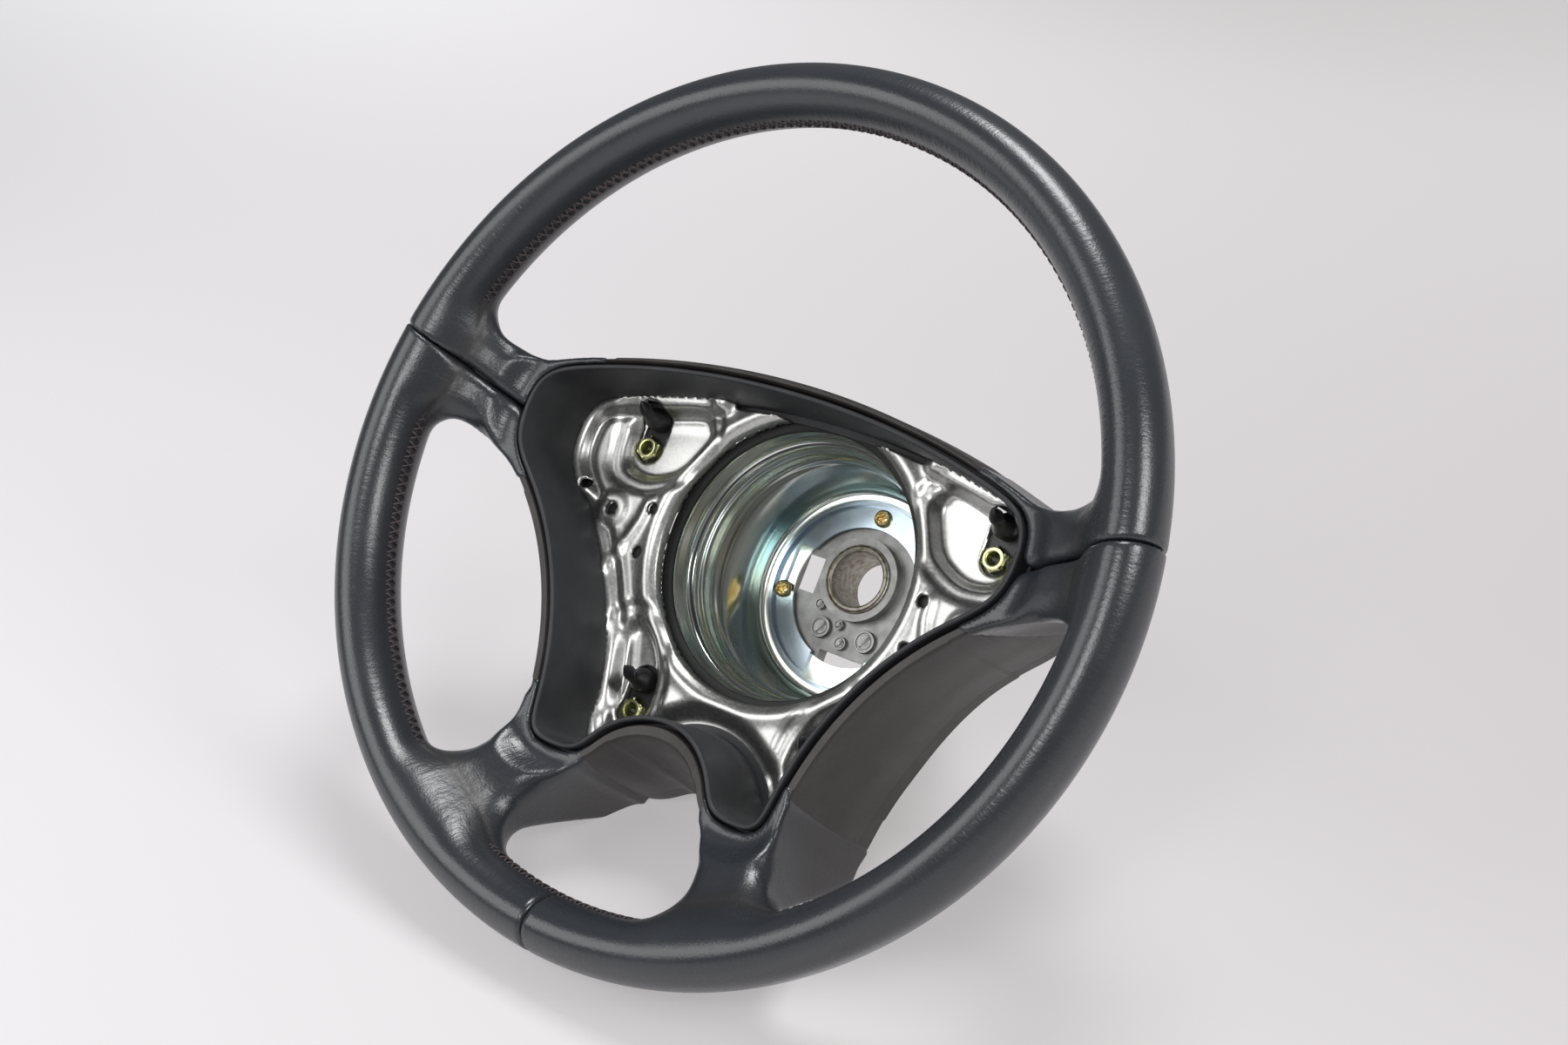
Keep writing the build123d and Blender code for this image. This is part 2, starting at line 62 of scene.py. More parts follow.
# Places (x, z) of the sleeves on the right, and the height of a peg above its sleeve.
UPPER_SPOT: Pair = (94.0, 21.7)
LOWER_SPOT: Pair = (48.3, -93.0)
PEG_RISE = 14.0
# Station from which edges and joints lean, and the depth over which they do.
LEAN_FROM = 20.0
LEAN_RUN = 72.0
log = logging.getLogger("wheel")
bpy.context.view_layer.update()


def smooth_min(first: Array, second: Array, reach: float | Array) -> Array:
    """Takes the lower of two fields and rounds the crease between them.

    Args:
        first: One field.
        second: The other field.
        reach: Difference of the fields within which the crease is rounded, in millimetres.

    Returns:
        The blended field.
    """
    near = np.maximum(reach - np.abs(first - second), 0.0) / reach
    return np.minimum(first, second) - near**2 * reach / 4


def smooth_max(first: Array, second: Array, reach: float | Array) -> Array:
    """Takes the higher of two fields and rounds the crease, as smooth_min does for the lower."""
    return -smooth_min(-first, -second, reach)


def ease(low: float, high: float, value: Array) -> Array:
    """Rises smoothly from 0 at low to 1 at high."""
    share = np.clip((value - low) / (high - low), 0.0, 1.0)
    return share * share * (3 - 2 * share)


def bell(value: Array, width: float) -> Array:
    """Gaussian hump of height 1 round zero."""
    return np.exp(-((value / width) ** 2))


def lean_depth(points: Array) -> Array:
    """Depth behind the walls' front edges, over which spoke edges and leather joints lean."""
    return np.clip(points[:, 1] - LEAN_FROM, 0.0, LEAN_RUN)


def arc_through(start: Pair, middle: Pair, end: Pair, count: int = 160) -> Array:
    """Samples the circle arc through three points.

    The centre is where the perpendicular bisectors meet, and the angle runs evenly from start to end past
    the middle point.

    Args:
        start: First point.
        middle: A point on the arc.
        end: Last point.
        count: Number of samples.

    Returns:
        Points along the arc, one row each.
    """
    a, b, c = (np.array(point, float) for point in (start, middle, end))
    lhs = 2 * np.array([b - a, c - a])
    rhs = np.array([b @ b - a @ a, c @ c - a @ a])
    centre = np.linalg.solve(lhs, rhs)
    angles = [math.atan2(*(point - centre)[::-1]) for point in (a, b, c)]
    angles = np.unwrap(angles, period=2 * math.pi)
    turn = np.linspace(angles[0], angles[2], count)
    radius = np.linalg.norm(a - centre)
    return centre + radius * np.stack([np.cos(turn), np.sin(turn)], axis=1)


def straight(start: Pair, end: Pair, count: int = 60) -> Array:
    """Samples the straight line between two points."""
    share = np.linspace(0, 1, count)[:, None]
    return np.array(start) * (1 - share) + np.array(end) * share


def evenly(path: Array, count: int) -> Array:
    """Resamples a closed path at even steps along its length.

    Args:
        path: Points of the path, one row each.
        count: Number of samples.

    Returns:
        The samples, one row each.
    """
    closed = np.vstack([path, path[:1]])
    run = np.concatenate([[0], np.cumsum(np.linalg.norm(np.diff(closed, axis=0), axis=1))])
    at = np.linspace(0, run[-1], count, endpoint=False)
    return np.stack([np.interp(at, run, closed[:, axis]) for axis in range(path.shape[1])], axis=1)


def softened(path: Array, width: float) -> Array:
    """Rounds the corners of an evenly sampled closed path with a Gaussian along its length.

    Args:
        path: Points of the path, one row each.
        width: Width of the Gaussian.

    Returns:
        The rounded path.
    """
    step = np.linalg.norm(path[1] - path[0])
    wave = np.fft.fftfreq(len(path), d=step)
    damp = np.exp(-2 * (math.pi * width * wave) ** 2)[:, None]
    return np.fft.ifft(np.fft.fft(path, axis=0) * damp, axis=0).real


def strip_faces(rows: int, columns: int, close_rows: bool, close_columns: bool) -> Array:
    """Numbers the quads of a grid of points.

    Args:
        rows: Number of rows of points.
        columns: Number of points in a row.
        close_rows: Whether the last row joins the first.
        close_columns: Whether the last point of a row joins its first.

    Returns:
        The four corners of each quad, one row each.
    """
    row = np.arange(rows if close_rows else rows - 1)[:, None]
    column = np.arange(columns if close_columns else columns - 1)[None, :]
    next_row = (row + 1) % rows
    next_column = (column + 1) % columns
    corners = [row * columns + column, row * columns + next_column,
               next_row * columns + next_column, next_row * columns + column]
    return np.stack([corner.ravel() for corner in np.broadcast_arrays(*corners)], axis=1)


def revolved(profile: Array, centre: Pair = (0.0, 0.0), sides: int = 160,
             ripple: Callable[[Array, Array], Array] | None = None) -> Shape:
    """Carries a closed profile of (radius, station) points round an axis parallel to the column.

    The point is centre + radius (cos t, sin t) at the profile's station, for t from 0 to a full turn.

    Args:
        profile: Closed profile, one (radius, station) row per point.
        centre: Axis position (x, z).
        sides: Number of steps round the axis.
        ripple: Optional radius change for each (turn, profile row) grid point.

    Returns:
        Points and faces.
    """
    turn = np.linspace(0, 2 * math.pi, sides, endpoint=False)[:, None]
    radius = np.broadcast_to(profile[:, 0], (sides, len(profile)))
    if ripple is not None:
        radius = radius + ripple(turn, profile)
    station = np.broadcast_to(profile[:, 1], radius.shape)
    points = np.stack([centre[0] + radius * np.cos(turn), station, centre[1] + radius * np.sin(turn)], axis=2)
    return points.reshape(-1, 3), [strip_faces(sides, len(profile), True, True)]


@dataclass(frozen=True)
class Net:
    """Polygoniser of a field: one vertex in each grid cell that the zero surface crosses."""

    pitch: float = 1.5
    rounds: int = 4
    step: float = 0.05
    least_slope: float = 0.05

    def shape(self, field_of: Field, low: Triple, high: Triple) -> Shape:
        """Builds the zero surface of a field inside a box.

        Each crossed cell gets a vertex at the mean of its edge crossings, each crossed grid edge gets a
        quad of the four cells round it, and the vertices are then relaxed and slid onto the surface.

        Args:
            field_of: Field of points.
            low: Lowest corner of the box.
            high: Highest corner of the box.

        Returns:
            Points and faces.
        """
        axes = [np.arange(a, b + self.pitch, self.pitch) for a, b in zip(low, high)]
        grid = np.stack(np.meshgrid(*axes, indexing="ij"), axis=-1)
        value = field_of(grid.reshape(-1, 3)).reshape(grid.shape[:3])
        points, number = self.cell_points(value, np.array(low))
        quads = self.quads(value < 0, number)
        points = self.settled(points, quads, field_of)
        return points, [quads]

    def cell_points(self, value: Array, low: Array) -> tuple[Array, Array]:
        """Places one vertex in each crossed cell and numbers them.

        Args:
            value: Field at the grid's points.
            low: Lowest corner of the grid.

        Returns:
            The vertices, and each cell's vertex number, or -1 where there is none.
        """
        inside = (value < 0).astype(np.int8)
        rows, columns, layers = np.array(inside.shape) - 1
        corner_count = sum(inside[i:rows + i, j:columns + j, k:layers + k]
                           for i in (0, 1) for j in (0, 1) for k in (0, 1))
        cell = np.argwhere((corner_count > 0) & (corner_count < 8))
        total = np.zeros((len(cell), 3))
        count = np.zeros((len(cell), 1))
        for axis in range(3):
            others = [other for other in range(3) if other != axis]
            for first in (0, 1):
                for second in (0, 1):
                    shift = np.zeros(3, int)
                    shift[others] = (first, second)
                    start = cell + shift
                    end = start + np.eye(3, dtype=int)[axis]
                    a = value[tuple(start.T)][:, None]
                    b = value[tuple(end.T)][:, None]
                    crossed = (a < 0) != (b < 0)
                    share = np.where(crossed, a / np.where(crossed, a - b, 1.0), 0.0)
                    total += crossed * (start + share * np.eye(3)[axis])
                    count += crossed
        number = np.full(corner_count.shape, -1)
        number[tuple(cell.T)] = np.arange(len(cell))
        return low + total / count * self.pitch, number

    @staticmethod
    def quads(inside: Array, number: Array) -> Array:
        """Joins the four cells round each crossed grid edge, wound so that the face points outwards.

        Args:
            inside: Whether each grid point lies inside.
            number: Vertex number of each cell.

        Returns:
            The four corners of each quad, one row each.
        """
        found = []
        for axis in range(3):
            turned = np.moveaxis(inside, (axis, (axis + 1) % 3, (axis + 2) % 3), (0, 1, 2))
            cells = np.moveaxis(number, (axis, (axis + 1) % 3, (axis + 2) % 3), (0, 1, 2))
            a, b = turned[:-1, 1:-1, 1:-1], turned[1:, 1:-1, 1:-1]
            ring = [cells[:, :-1, :-1], cells[:, 1:, :-1], cells[:, 1:, 1:], cells[:, :-1, 1:]]
            for crossed, order in ((a & ~b, (0, 1, 2, 3)), (~a & b, (3, 2, 1, 0))):
                found.append(np.stack([ring[corner][crossed] for corner in order], axis=1))
        quads = np.vstack(found)
        return quads[(quads >= 0).all(axis=1)]

    def settled(self, points: Array, quads: Array, field_of: Field) -> Array:
        """Evens the spacing of the vertices and slides them down the field's slope onto its surface.

        Args:
            points: The vertices.
            quads: Their faces.
            field_of: Field of points.

        Returns:
            The moved vertices.
        """
        edges = np.vstack([quads[:, [i, (i + 1) % 4]] for i in range(4)])
        edges = np.unique(np.sort(edges, axis=1), axis=0)
        degree = np.bincount(edges.ravel(), minlength=len(points))[:, None]
        for turn in range(self.rounds):
            if turn:
                total = np.stack([np.bincount(edges[:, 0], points[edges[:, 1], axis], len(points))
                                  + np.bincount(edges[:, 1], points[edges[:, 0], axis], len(points))
                                  for axis in range(3)], axis=1)
                points = 0.5 * points + 0.5 * total / np.maximum(degree, 1)
            for _ in range(2):
                points = points - self.slide(points, field_of)
        return points

    def slide(self, points: Array, field_of: Field) -> Array:
        """Newton step along the field's slope, kept under one grid pitch.

        Args:
            points: The vertices.
            field_of: Field of points.

        Returns:
            The step to take off each vertex.
        """
        value = field_of(points)
        slope = [(field_of(points + self.step * unit) - value) / self.step for unit in np.eye(3)]
        slope = np.stack(slope, axis=1)
        move = value[:, None] * slope / np.maximum((slope**2).sum(axis=1, keepdims=True), self.least_slope)
        length = np.linalg.norm(move, axis=1, keepdims=True)
        return move * np.minimum(1.0, self.pitch / np.maximum(length, 1e-9))


def polygon_distance(x: Array, z: Array, corners: tuple[Pair, ...]) -> Array:
    """Signed distance from a closed polygon: to its nearest side, negative where sides to the right are odd.

    Args:
        x: First coordinates of the points.
        z: Second coordinates.
        corners: Corners of the polygon.

    Returns:
        The distances, negative inside.
    """
    point = np.array(corners, float)
    best = np.full(x.shape, np.inf)
    inside = np.zeros(x.shape, bool)
    for (ax, az), (bx, bz) in zip(point, np.roll(point, -1, axis=0)):
        dx, dz = bx - ax, bz - az
        best = np.minimum(best, segment_distance(x, z, (ax, az), (bx, bz)))
        spanned = (az > z) != (bz > z)
        inside ^= spanned & (x < ax + (z - az) * dx / (dz if dz else 1.0))
    return np.where(inside, -best, best)


def segment_distance(x: Array, z: Array, start: Pair, end: Pair) -> Array:
    """Distance from the nearest point of a straight line between two points.

    Args:
        x: First coordinates of the points.
        z: Second coordinates.
        start: One end of the line.
        end: Its other end.

    Returns:
        The distances.
    """
    dx, dz = end[0] - start[0], end[1] - start[1]
    share = np.clip(((x - start[0]) * dx + (z - start[1]) * dz) / (dx * dx + dz * dz), 0.0, 1.0)
    return np.hypot(x - start[0] - share * dx, z - start[1] - share * dz)


@dataclass(frozen=True)
class Raster:
    """Numbers on an even grid of (x, z) places, read between them."""

    values: Array
    low: Pair
    step: float

    @classmethod
    def of(cls, function: Callable[[Array, Array], Array], low: Pair, high: Pair, step: float) -> "Raster":
        """Samples a function over a box."""
        axes = [np.arange(a, b + step, step) for a, b in zip(low, high)]
        return cls(function(*np.meshgrid(*axes, indexing="ij")), low, step)

    def read(self, x: Array, z: Array) -> Array:
        """Value at places inside the box, linear between the grid's points.

        Args:
            x: First coordinates of the places.
            z: Second coordinates.

        Returns:
            The values.
        """
        rows, columns = self.values.shape
        u = np.clip((x - self.low[0]) / self.step, 0, rows - 1.001)
        v = np.clip((z - self.low[1]) / self.step, 0, columns - 1.001)
        i, j = u.astype(int), v.astype(int)
        p, q = u - i, v - j
        near = self.values[i, j] * (1 - p) + self.values[i + 1, j] * p
        far = self.values[i, j + 1] * (1 - p) + self.values[i + 1, j + 1] * p
        return near * (1 - q) + far * q


@dataclass(frozen=True)
class WheelFrame:
    """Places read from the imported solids."""

    setback: float
    pot_z: float

    @classmethod
    def read(cls) -> "WheelFrame":
        """Reads the rim's middle plane and the pot's axis from the boxes of their nodes.

        Returns:
            The frame.
        """
        ring_low, ring_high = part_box("rim_ring")
        pot_low, pot_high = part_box("impact_pot")
        return cls(setback=-(ring_low[1] + ring_high[1]) / 2 / MM, pot_z=(pot_low[2] + pot_high[2]) / 2 / MM)

    def metres(self, points: Array) -> Array:
        """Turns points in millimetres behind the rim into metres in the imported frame."""
        return (points - np.array([0.0, self.setback, 0.0])) * MM


def make_piece(place: WheelFrame, name: str, shape: Shape, material: bpy.types.Material,
               replaced: tuple[str, ...] = (), sharp_angle: float | None = None) -> bpy.types.Object:
    """Makes a dressed mesh object that rides on the wheel.

    Args:
        place: Frame that turns the points into metres.
        name: Name of the object and its mesh.
        shape: Points and faces.
        material: The piece's finish.
        replaced: CAD nodes that this piece stands for.
        sharp_angle: Angle in degrees above which an edge is sharp, or None to smooth every edge.

    Returns:
        The object.
    """
    points, faces = shape
    mesh = bpy.data.meshes.new(name)
    rows = [row for block in faces for row in np.asarray(block).tolist()]
    mesh.from_pydata(place.metres(points).tolist(), [], rows)
    mesh.validate()
    mesh.shade_smooth()
    if sharp_angle is not None:
        mesh.set_sharp_from_angle(angle=math.radians(sharp_angle))
    mesh.materials.append(material)
    piece = bpy.data.objects.new(name, mesh)
    bpy.context.scene.collection.objects.link(piece)
    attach(piece, "root")
    if replaced:
        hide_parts(*replaced)
    log.info("%s: %d points, %d faces", name, len(points), len(rows))
    return piece


def joined(shapes: list[Shape]) -> Shape:
    """Puts several shapes into one list of points and faces.

    Args:
        shapes: Points and faces of each.

    Returns:
        Points and faces of all, renumbered.
    """
    offsets = np.cumsum([0] + [len(points) for points, _ in shapes[:-1]])
    faces = [block + offset for (_, blocks), offset in zip(shapes, offsets) for block in blocks]
    return np.vstack([points for points, _ in shapes]), faces


def mirrored(shape: Shape) -> Shape:
    """The same shape on the other side of the wheel, with its faces turned to point outwards again."""
    points, faces = shape
    return points * np.array([-1.0, 1.0, 1.0]), [block[:, ::-1] for block in faces]


def set_values(piece: bpy.types.Object, name: str, values: Array) -> None:
    """Stores one number per vertex for a material to read."""
    layer = piece.data.attributes.new(name, "FLOAT", "POINT")
    layer.data.foreach_set("value", np.asarray(values, np.float32))


class Wire:
    """A shader socket that takes part in Python arithmetic."""

    def __init__(self, graph: "Graph", socket: bpy.types.NodeSocket) -> None:
        """Wraps an output socket of a graph's node."""
        self.graph = graph
        self.socket = socket

    def math(self, operation: str, *values: Link) -> "Wire":
        """Adds a Math node that works on this value and others."""
        inputs = dict(enumerate((self, *values)))
        return self.graph.node("ShaderNodeMath", {"operation": operation}, inputs)

    def __add__(self, other: Link) -> "Wire":
        """Sum."""
        return self.math("ADD", other)

    __radd__ = __add__

    def __sub__(self, other: Link) -> "Wire":
        """Difference."""
        return self.math("SUBTRACT", other)

    def __rsub__(self, other: Link) -> "Wire":
        """Difference from a plain number."""
        return self.math("MULTIPLY_ADD", -1.0, other)

    def __mul__(self, other: Link) -> "Wire":
        """Product."""
        return self.math("MULTIPLY", other)

    __rmul__ = __mul__

    def step(self, low: float, high: float) -> "Wire":
        """Rises smoothly from 0 at low to 1 at high."""
        ramp = {"Value": self, "From Min": low, "From Max": high}
        return self.graph.node("ShaderNodeMapRange", {"interpolation_type": "SMOOTHSTEP"}, ramp)


class Graph:
    """Node tree of one material, with a Principled shader to feed."""

    def __init__(self, name: str) -> None:
        """Makes the material and its shader.

        Args:
            name: Name of the material.
        """
        self.material = bpy.data.materials.new(name)
        self.material.use_nodes = True
        self.tree = self.material.node_tree
        self.shader = self.tree.nodes["Principled BSDF"]

    def node(self, kind: str, settings: dict[str, object] | None = None,
             inputs: dict[str | int, Link] | None = None, output: str | int = 0) -> Wire:
        """Adds a node.

        Args:
            kind: Node type.
            settings: Properties set before anything is linked; "stops" gives a colour ramp's stops.
            inputs: Values or wires for the sockets, by name or number.
            output: Socket to return.

        Returns:
            The chosen output.
        """
        node = self.tree.nodes.new(kind)
        for key, value in (settings or {}).items():
            if key == "stops":
                self.set_stops(node.color_ramp, value)
            else:
                setattr(node, key, value)
        for key, value in (inputs or {}).items():
            self.feed(node.inputs[key], value)
        return Wire(self, node.outputs[output])

    @staticmethod
    def set_stops(ramp: bpy.types.ColorRamp, stops: list[tuple[float, Triple]]) -> None:
        """Gives a colour ramp its stops.

        Args:
            ramp: The ramp.
            stops: Position and colour of each stop.
        """
        while len(ramp.elements) < len(stops):
            ramp.elements.new(1.0)
        for element, (position, colour) in zip(ramp.elements, stops):
            element.position = position
            element.color = (*colour, 1.0)

    def feed(self, socket: bpy.types.NodeSocket, value: Link) -> None:
        """Links a wire to a socket, or sets the socket's own value.

        Args:
            socket: Socket to feed.
            value: A wire, a number, a colour or a vector.
        """
        if isinstance(value, Wire):
            self.tree.links.new(value.socket, socket)
        elif isinstance(value, tuple) and len(value) == 3 and socket.type == "RGBA":
            socket.default_value = (*value, 1.0)
        else:
            socket.default_value = value

    def place(self) -> Wire:
        """Object coordinates of the piece."""
        return self.node("ShaderNodeTexCoord", output="Object")

    def axes(self, vector: Wire) -> list[Wire]:
        """The three numbers of a vector."""
        return [self.node("ShaderNodeSeparateXYZ", inputs={0: vector}, output=axis) for axis in range(3)]

    def value(self, name: str) -> Wire:
        """A number stored on the piece's vertices."""
        return self.node("ShaderNodeAttribute", {"attribute_name": name}, output="Fac")

    def vector(self, x: Link, y: Link, z: Link) -> Wire:
        """Vector of three numbers."""
        return self.node("ShaderNodeCombineXYZ", inputs={0: x, 1: y, 2: z})

    def noise(self, vector: Wire, scale: float, detail: float = 2.0, rough: float = 0.5) -> Wire:
        """Noise from 0 to 1."""
        inputs = {"Vector": vector, "Scale": scale, "Detail": detail, "Roughness": rough}
        return self.node("ShaderNodeTexNoise", inputs=inputs)

    def cells(self, vector: Wire, scale: float, output: str = "Distance") -> Wire:
        """Voronoi cells."""
        inputs = {"Vector": vector, "Scale": scale}
        return self.node("ShaderNodeTexVoronoi", {"feature": "F1"}, inputs, output)

    def mix(self, share: Link, first: Link, second: Link, blend: str = "MIX") -> Wire:
        """Colour between two colours, or another blend of them."""
        settings = {"data_type": "RGBA", "blend_type": blend}
        return self.node("ShaderNodeMix", settings, {0: share, 6: first, 7: second}, output=2)

    def ramp(self, value: Wire, stops: list[tuple[float, Triple]]) -> Wire:
        """Colour from a ramp."""
        return self.node("ShaderNodeValToRGB", {"stops": stops}, {0: value})

    def bump(self, height: Wire, depth: float, under: Wire | None = None) -> Wire:
        """Adds a bump.

        Args:
            height: Height from 0 to 1.
            depth: Depth of the full height in millimetres.
            under: Normal of the bump below it.

        Returns:
            The bumped normal.
        """
        inputs = {"Height": height, "Distance": depth * MM, "Strength": 1.0}
        if under is not None:
            inputs["Normal"] = under
        return self.node("ShaderNodeBump", inputs=inputs)

    def finish(self, **sockets: Link) -> bpy.types.Material:
        """Feeds the shader.

        Args:
            **sockets: Values or wires by socket name, with underscores for spaces.

        Returns:
            The material.
        """
        for name, value in sockets.items():
            self.feed(self.shader.inputs[name.replace("_", " ")], value)
        return self.material


@dataclass(frozen=True)
class Hide:
    """Dark grey wheel leather: fine grain, creases across the rim, worn lighter patches, browner webs,
    painted shade by the stitches.
    """

    colour: Triple = (0.023, 0.0265, 0.032)
    worn: Triple = (0.04, 0.045, 0.053)
    web: Triple = (0.031, 0.028, 0.028)
    # Colour of the painted shade beside the stitches on the rim's inner face.
    shadow: Triple = (0.022, 0.02, 0.02)
    roughness: float = 0.285
    web_from: Pair = (26.0, 58.0)
    pebble_depth: float = 0.035
    line_depth: float = 0.15
    fold_depth: float = 0.12
    wrinkle_depth: float = 0.16

    def material(self) -> bpy.types.Material:
        """Builds the material.

        Returns:
            Leather that reads the stored values along (mm round the rim), station and radial (mm across the
            section), crease (0 to 1 where the hide is bunched) and stitch_shade (0 to 1 beside the stitches,
            painted shade).
        """
        graph = Graph("wheel_leather")
        place = graph.place()
        along, station, radial = graph.value("along"), graph.value("station"), graph.value("radial")
        crease, stitch_shade = graph.value("crease"), graph.value("stitch_shade")
        patches = graph.noise(place, scale=22.0, detail=3.0)
        fine = graph.noise(place, scale=900.0, detail=2.0)
        pebble = graph.cells(place, scale=1000.0)
        stretched = graph.vector(along * 0.42, station * 0.06, radial * 0.06)
        lines = graph.noise(stretched, scale=1.0, detail=4.0, rough=0.6)
        bunched = graph.vector(along * 0.16, station * 0.1, radial * 0.1)
        folds = graph.noise(bunched, scale=1.0, detail=4.0, rough=0.65)
        wrinkles = graph.noise(place, scale=330.0, detail=3.0, rough=0.6)
        deep = station.step(*self.web_from)
        tone = graph.mix(patches.step(0.4, 0.8) * 0.3, self.colour, self.worn)
        tone = graph.mix(crease * wrinkles.step(0.5, 0.7) * 0.2, tone, self.worn)
        tone = graph.mix(deep * 0.7, tone, self.web)
        # Painted shade: the band beside the stitches on the rim's inner face is darkened to the shadow
        # colour.
        tone = graph.mix(stitch_shade, tone, self.shadow)
        rough = self.roughness + (patches - 0.5) * 0.16 + (fine - 0.5) * 0.1 + stitch_shade * 0.2 + deep * 0.14
        surface = graph.bump(pebble, self.pebble_depth)
        surface = graph.bump(lines, self.line_depth, surface)
        surface = graph.bump(folds * crease, self.fold_depth, surface)
        surface = graph.bump(wrinkles * crease, self.wrinkle_depth, surface)
        return graph.finish(Base_Color=tone, Roughness=rough, Normal=surface, Specular_IOR_Level=0.75)


@dataclass(frozen=True)
class Moulding:
    """Matt moulded plastic with a fine grain; pleats is the depth of fine lines that run along the column."""

    name: str
    colour: Triple
    light: Triple
    roughness: float = 0.55
    grain: float = 0.05
    pleats: float = 0.0

    def material(self) -> bpy.types.Material:
        """Builds the material.

        Returns:
            Plastic mottled between its two colours.
        """
        graph = Graph(self.name)
        place = graph.place()
        mottle = graph.noise(place, scale=60.0, detail=4.0)
        dust = graph.noise(place, scale=9.0, detail=3.0)
        speck = graph.noise(place, scale=1400.0, detail=1.0)
        tone = graph.mix(mottle.step(0.35, 0.75), self.colour, self.light)
        rough = self.roughness + (dust - 0.5) * 0.2 + (speck - 0.5) * 0.1
        surface = graph.bump(speck, self.grain)
        if self.pleats:
            x, y, z = graph.axes(place)
            stretched = graph.vector(x * 260.0, y * 16.0, z * 260.0)
            lines = graph.noise(stretched, scale=1.0, detail=3.0)
            surface = graph.bump(lines, self.pleats, surface)
        return graph.finish(Base_Color=tone, Roughness=rough, Normal=surface)


@dataclass(frozen=True)
class Galvanised:
    """Zinc-dipped sheet with a spangle of crystals."""

    dark: Triple = (0.46, 0.46, 0.45)
    bright: Triple = (0.74, 0.74, 0.72)
    roughness: float = 0.3
    grain: float = 0.012

    def material(self) -> bpy.types.Material:
        """Builds the material.

        Returns:
            Zinc whose crystals differ in brightness and gloss.
        """
        graph = Graph("galvanised_sheet")
        place = graph.place()
        cells = graph.cells(place, scale=900.0, output="Color")
        crystal = graph.node("ShaderNodeSeparateColor", inputs={0: cells})
        cloud = graph.noise(place, scale=45.0, detail=4.0)
        fine = graph.noise(place, scale=900.0, detail=3.0)
        tone = graph.mix(crystal * 0.5 + cloud * 0.4, self.dark, self.bright)
        rough = self.roughness + crystal * 0.06 + (cloud - 0.5) * 0.1
        surface = graph.bump(fine * 0.6 + crystal * 0.4, self.grain)
        return graph.finish(Base_Color=tone, Roughness=rough, Metallic=1.0, Normal=surface)


@dataclass(frozen=True)
class Plated:
    """Bright plated steel whose thin film shifts in tint over the surface."""

    name: str
    tints: tuple[Triple, ...]
    roughness: float = 0.2
    scale: float = 30.0
    metal: float = 1.0
    grain: float = 0.002

    def material(self) -> bpy.types.Material:
        """Builds the material.

        Returns:
            Metal that drifts through its tints and is smeared in gloss.
        """
        graph = Graph(self.name)
        place = graph.place()
        drift = graph.noise(place, scale=self.scale, detail=3.0)
        fine = graph.noise(place, scale=700.0, detail=2.0)
        smear = graph.noise(place, scale=95.0, detail=5.0, rough=0.6)
        span = max(len(self.tints) - 1, 1)
        stops = [(0.25 + 0.5 * index / span, tint) for index, tint in enumerate(self.tints)]
        tone = graph.ramp(drift, stops)
        rough = self.roughness + (smear - 0.5) * 0.1 + (fine - 0.5) * 0.02
        surface = graph.bump(fine, self.grain)
        return graph.finish(Base_Color=tone, Roughness=rough, Metallic=self.metal, Normal=surface)


